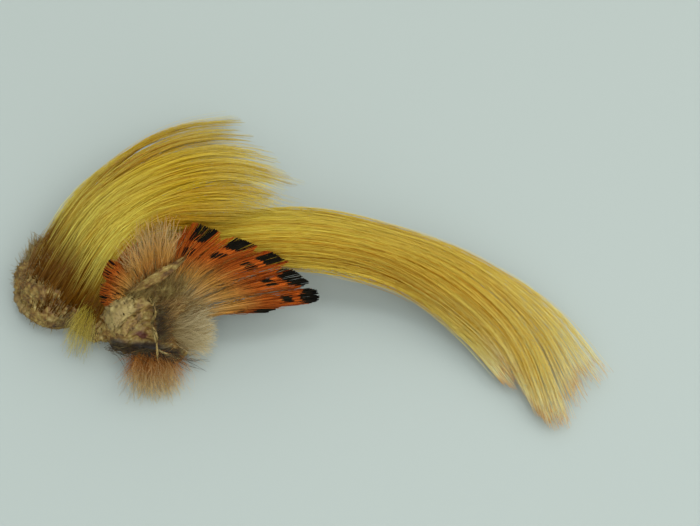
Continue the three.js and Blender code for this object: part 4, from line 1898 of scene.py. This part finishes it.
@dataclass
class Studio:
    """The pale floor, the soft light and the camera.

    Places are in millimetres in the layout, and the camera's elevation is in degrees.
    """

    aim: Point = (8.4, 1.9, 0.0)
    distance: float = 420.0
    elevation: float = 50.0
    half_width: float = 73.5
    sensor: float = 36.0
    floor_size: float = 3000.0
    sky_colour: str = "#f2f7f6"
    sky_strength: float = 0.63
    lights: tuple[Softbox, ...] = (
        Softbox("right_softbox", (920, 120, 760), 1000, 4.2, "#fffdf6"),
        Softbox("front_softbox", (200, -860, 600), 1000, 7.4, "#f6fbff"),
        Softbox("back_softbox", (60, 1040, 700), 800, 2.2, "#fffdf6"),
        Softbox("top_softbox", (60, 80, 1280), 500, 1.9, "#f8faff"),
    )

    def build(self) -> None:
        """Makes the floor, the lights and the camera."""
        self.add_floor()
        for box in self.lights:
            self.add_light(box)
        self.add_sky()
        self.add_camera()

    def place(self, point: Sequence[float]) -> Vector:
        """A point of the layout in the model's frame."""
        return Vector((np.array(point, float) - FOOTPRINT_MIDDLE) * MM)

    def add_floor(self) -> None:
        """Makes the floor."""
        half = self.floor_size / 2
        maker = MeshMaker()
        corners = np.array([(-half, -half, 0), (half, -half, 0), (half, half, 0), (-half, half, 0)])
        maker.add(corners, (np.array([[0, 1, 2, 3]]),), {})
        maker.build("floor", PaperFinish().build())

    def add_light(self, box: Softbox) -> None:
        """Adds a soft light that faces the crest.

        Args:
            box: The light's place, size and colour.
        """
        lamp = bpy.data.lights.new(box.name, "AREA")
        lamp.size = box.side * MM
        lamp.energy = box.watts
        lamp.color = linear(box.colour)[:3]
        light = bpy.data.objects.new(box.name, lamp)
        light.location = self.place(box.spot)
        light.rotation_euler = (self.place(self.aim) - light.location).to_track_quat("-Z", "Y").to_euler()
        bpy.context.scene.collection.objects.link(light)

    def add_sky(self) -> None:
        """Adds an even light from all round."""
        world = bpy.data.worlds.new("studio")
        world.use_nodes = True
        tree = world.node_tree
        tree.nodes.clear()
        inputs = {"Color": linear(self.sky_colour), "Strength": self.sky_strength}
        sky = add_node(tree, "ShaderNodeBackground", inputs)
        output = add_node(tree, "ShaderNodeOutputWorld", {"Surface": sky.outputs["Background"]})
        output.is_active_output = True
        bpy.context.scene.world = world
        bpy.context.scene.view_settings.view_transform = "Standard"

    def add_camera(self) -> None:
        """Adds the camera at the photograph's viewing angle."""
        lens = bpy.data.cameras.new("camera")
        lens.sensor_width = self.sensor
        lens.lens = self.sensor / 2 * self.distance / self.half_width
        camera = bpy.data.objects.new("camera", lens)
        tilt = math.radians(self.elevation)
        back = Vector((0, -math.cos(tilt), math.sin(tilt)))
        camera.location = self.place(self.aim) + back * self.distance * MM
        camera.rotation_euler = (-back).to_track_quat("-Z", "Y").to_euler()
        bpy.context.scene.collection.objects.link(camera)
        bpy.context.scene.camera = camera


def main() -> None:
    """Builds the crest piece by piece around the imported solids."""
    logging.basicConfig(level=logging.INFO, format="%(name)s: %(message)s")
    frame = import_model()
    Studio().build()
    skin = HeadSkin()
    skin.build(frame["nodes"]["head_skin"], SkinFinish().build())

    front = FeatherSurface(FRONT_GUIDES)
    silk = FAN_SILK.build()
    CrestLayer(
        "front_crest_feather", front, count=9, length=1.0, drop=0.0, barbs=205, steps=14, seed=11,
        radius=0.07, thickness=1.3, wisp_size=8, gather=0.65, cling=0.85, end_scatter=0.17, bend=0.85,
        taper=0.75, skin=skin, root_patch=11.0, sag=7.0, fall=5.0, slip=2.0, curl=3.0,
        ends=(1.03, 1.0, 1.02, 0.99, 1.05, 1.0, 1.06, 1.04, 1.0),
        # Lower tones paint the fan's far-edge feathers darker, as painted shade where they turn from the
        # light; the two inner feathers are a little deeper too.
        tones=(-0.3, -0.2, -0.1, 0.0, 0.0, 0.0, 0.0, -0.1, -0.1),
    ).build(silk)
    CrestLayer(
        "front_crest_underfeather", front, count=6, length=0.92, drop=2.0, barbs=110, steps=12, seed=12,
        gather=0.6, sag=6.0, curl=2.0, fullness=(1.7, 1.0, 1.0, 1.0, 1.0, 1.0),
    ).build(silk)

    back = FeatherSurface(LONG_GUIDES)
    silk = BRUSH_SILK.build()
    CrestLayer(
        "long_crest_feather", back, count=8, length=1.0, drop=0.0, barbs=250, steps=18, seed=21,
        radius=0.055, thickness=1.2, wisp_size=2, gather=0.15, cling=0.5, end_scatter=0.03, bend=0.8,
        taper=0.5, topmost=0.2, loose=0.09, loose_margin=0.06, early=0.35, inset=(0.0, 0.11),
        ends=(1.0, 0.985, 1.0, 1.02, 1.02, 0.93, 0.97, 1.0),
        tones=(0.15, 0.1, 0.05, 0.0, -0.15, -0.35, -0.35, 0.0),
        fullness=(0.45, 0.65, 0.8, 1.0, 1.0, 1.0, 1.0, 0.9),
    ).build(silk)
    CrestLayer(
        "long_crest_underfeather", back, count=5, length=0.95, drop=2.0, barbs=110, steps=18, seed=22,
        gather=0.3, bend=0.6, taper=0.25, inset=(0.06, 0.3),
        ends=(0.8, 0.87, 0.88, 0.82, 0.87),
        fullness=(0.4, 0.7, 1.0, 1.0, 0.8),
    ).build(silk)

    rosette = FeatherSurface(TIPPET_GUIDES)
    vane = TIPPET_VANE.build()
    buff = BUFF_DOWN.build()
    TippetLayer(
        "tippet_feather", rosette, count=11, length=1.0, drop=0.0, barbs=150, steps=10, seed=31,
        plumage=(*[Plumage.FLECKED] * 2, *[Plumage.DOWNY] * 3, *[Plumage.BARRED] * 5, Plumage.DARK),
        ends=(*[1.0] * 10, 0.78),
        bar_widths=(*[0.8] * 5, 0.52, 0.55, 0.55, 1.0, 1.0, 0.8),
        inset=0.045,
    ).build(vane)
    TippetLayer(
        "tippet_underfeather", rosette, count=7, length=0.88, drop=1.4, barbs=110, steps=10, seed=32,
        plumage=(
            *[Plumage.PLAIN] * 2, Plumage.DOWNY, Plumage.PLAIN, *[Plumage.BUFF] * 2, Plumage.DARK,
        ),
    ).build(vane)
    NapeDown(rosette, skin).build(buff)
    DownTuft(
        "side_down_tuft", root=(-28, -21.2, 6.5), tip=(-18.3, -20.9, 6.2), spread=4.6, fibres=1700,
        slot=Slot.BUFF, seed=41, flatness=0.9, drift=1.2, radius=0.036,
    ).build(buff)
    DownTuft(
        "throat_down_tuft", root=(-31, -23, 3), tip=(-30, -35, 2.4), spread=5.6, fibres=1500,
        slot=Slot.ORANGE, seed=42, root_share=0.5, stagger=0.2, drift=1.5, shortest=0.35, radius=0.035,
    ).build(ORANGE_DOWN.build())
    DownTuft(
        "brow_down_tuft", root=(-43.4, -15.4, 7.6), tip=(-47.4, -24.6, 1.8), spread=3.2, fibres=230,
        slot=Slot.YELLOW, seed=43, arch=0.8, root_share=0.22, stagger=0.5,
    ).build(YELLOW_DOWN.build())


if __name__ == "__main__":
    main()
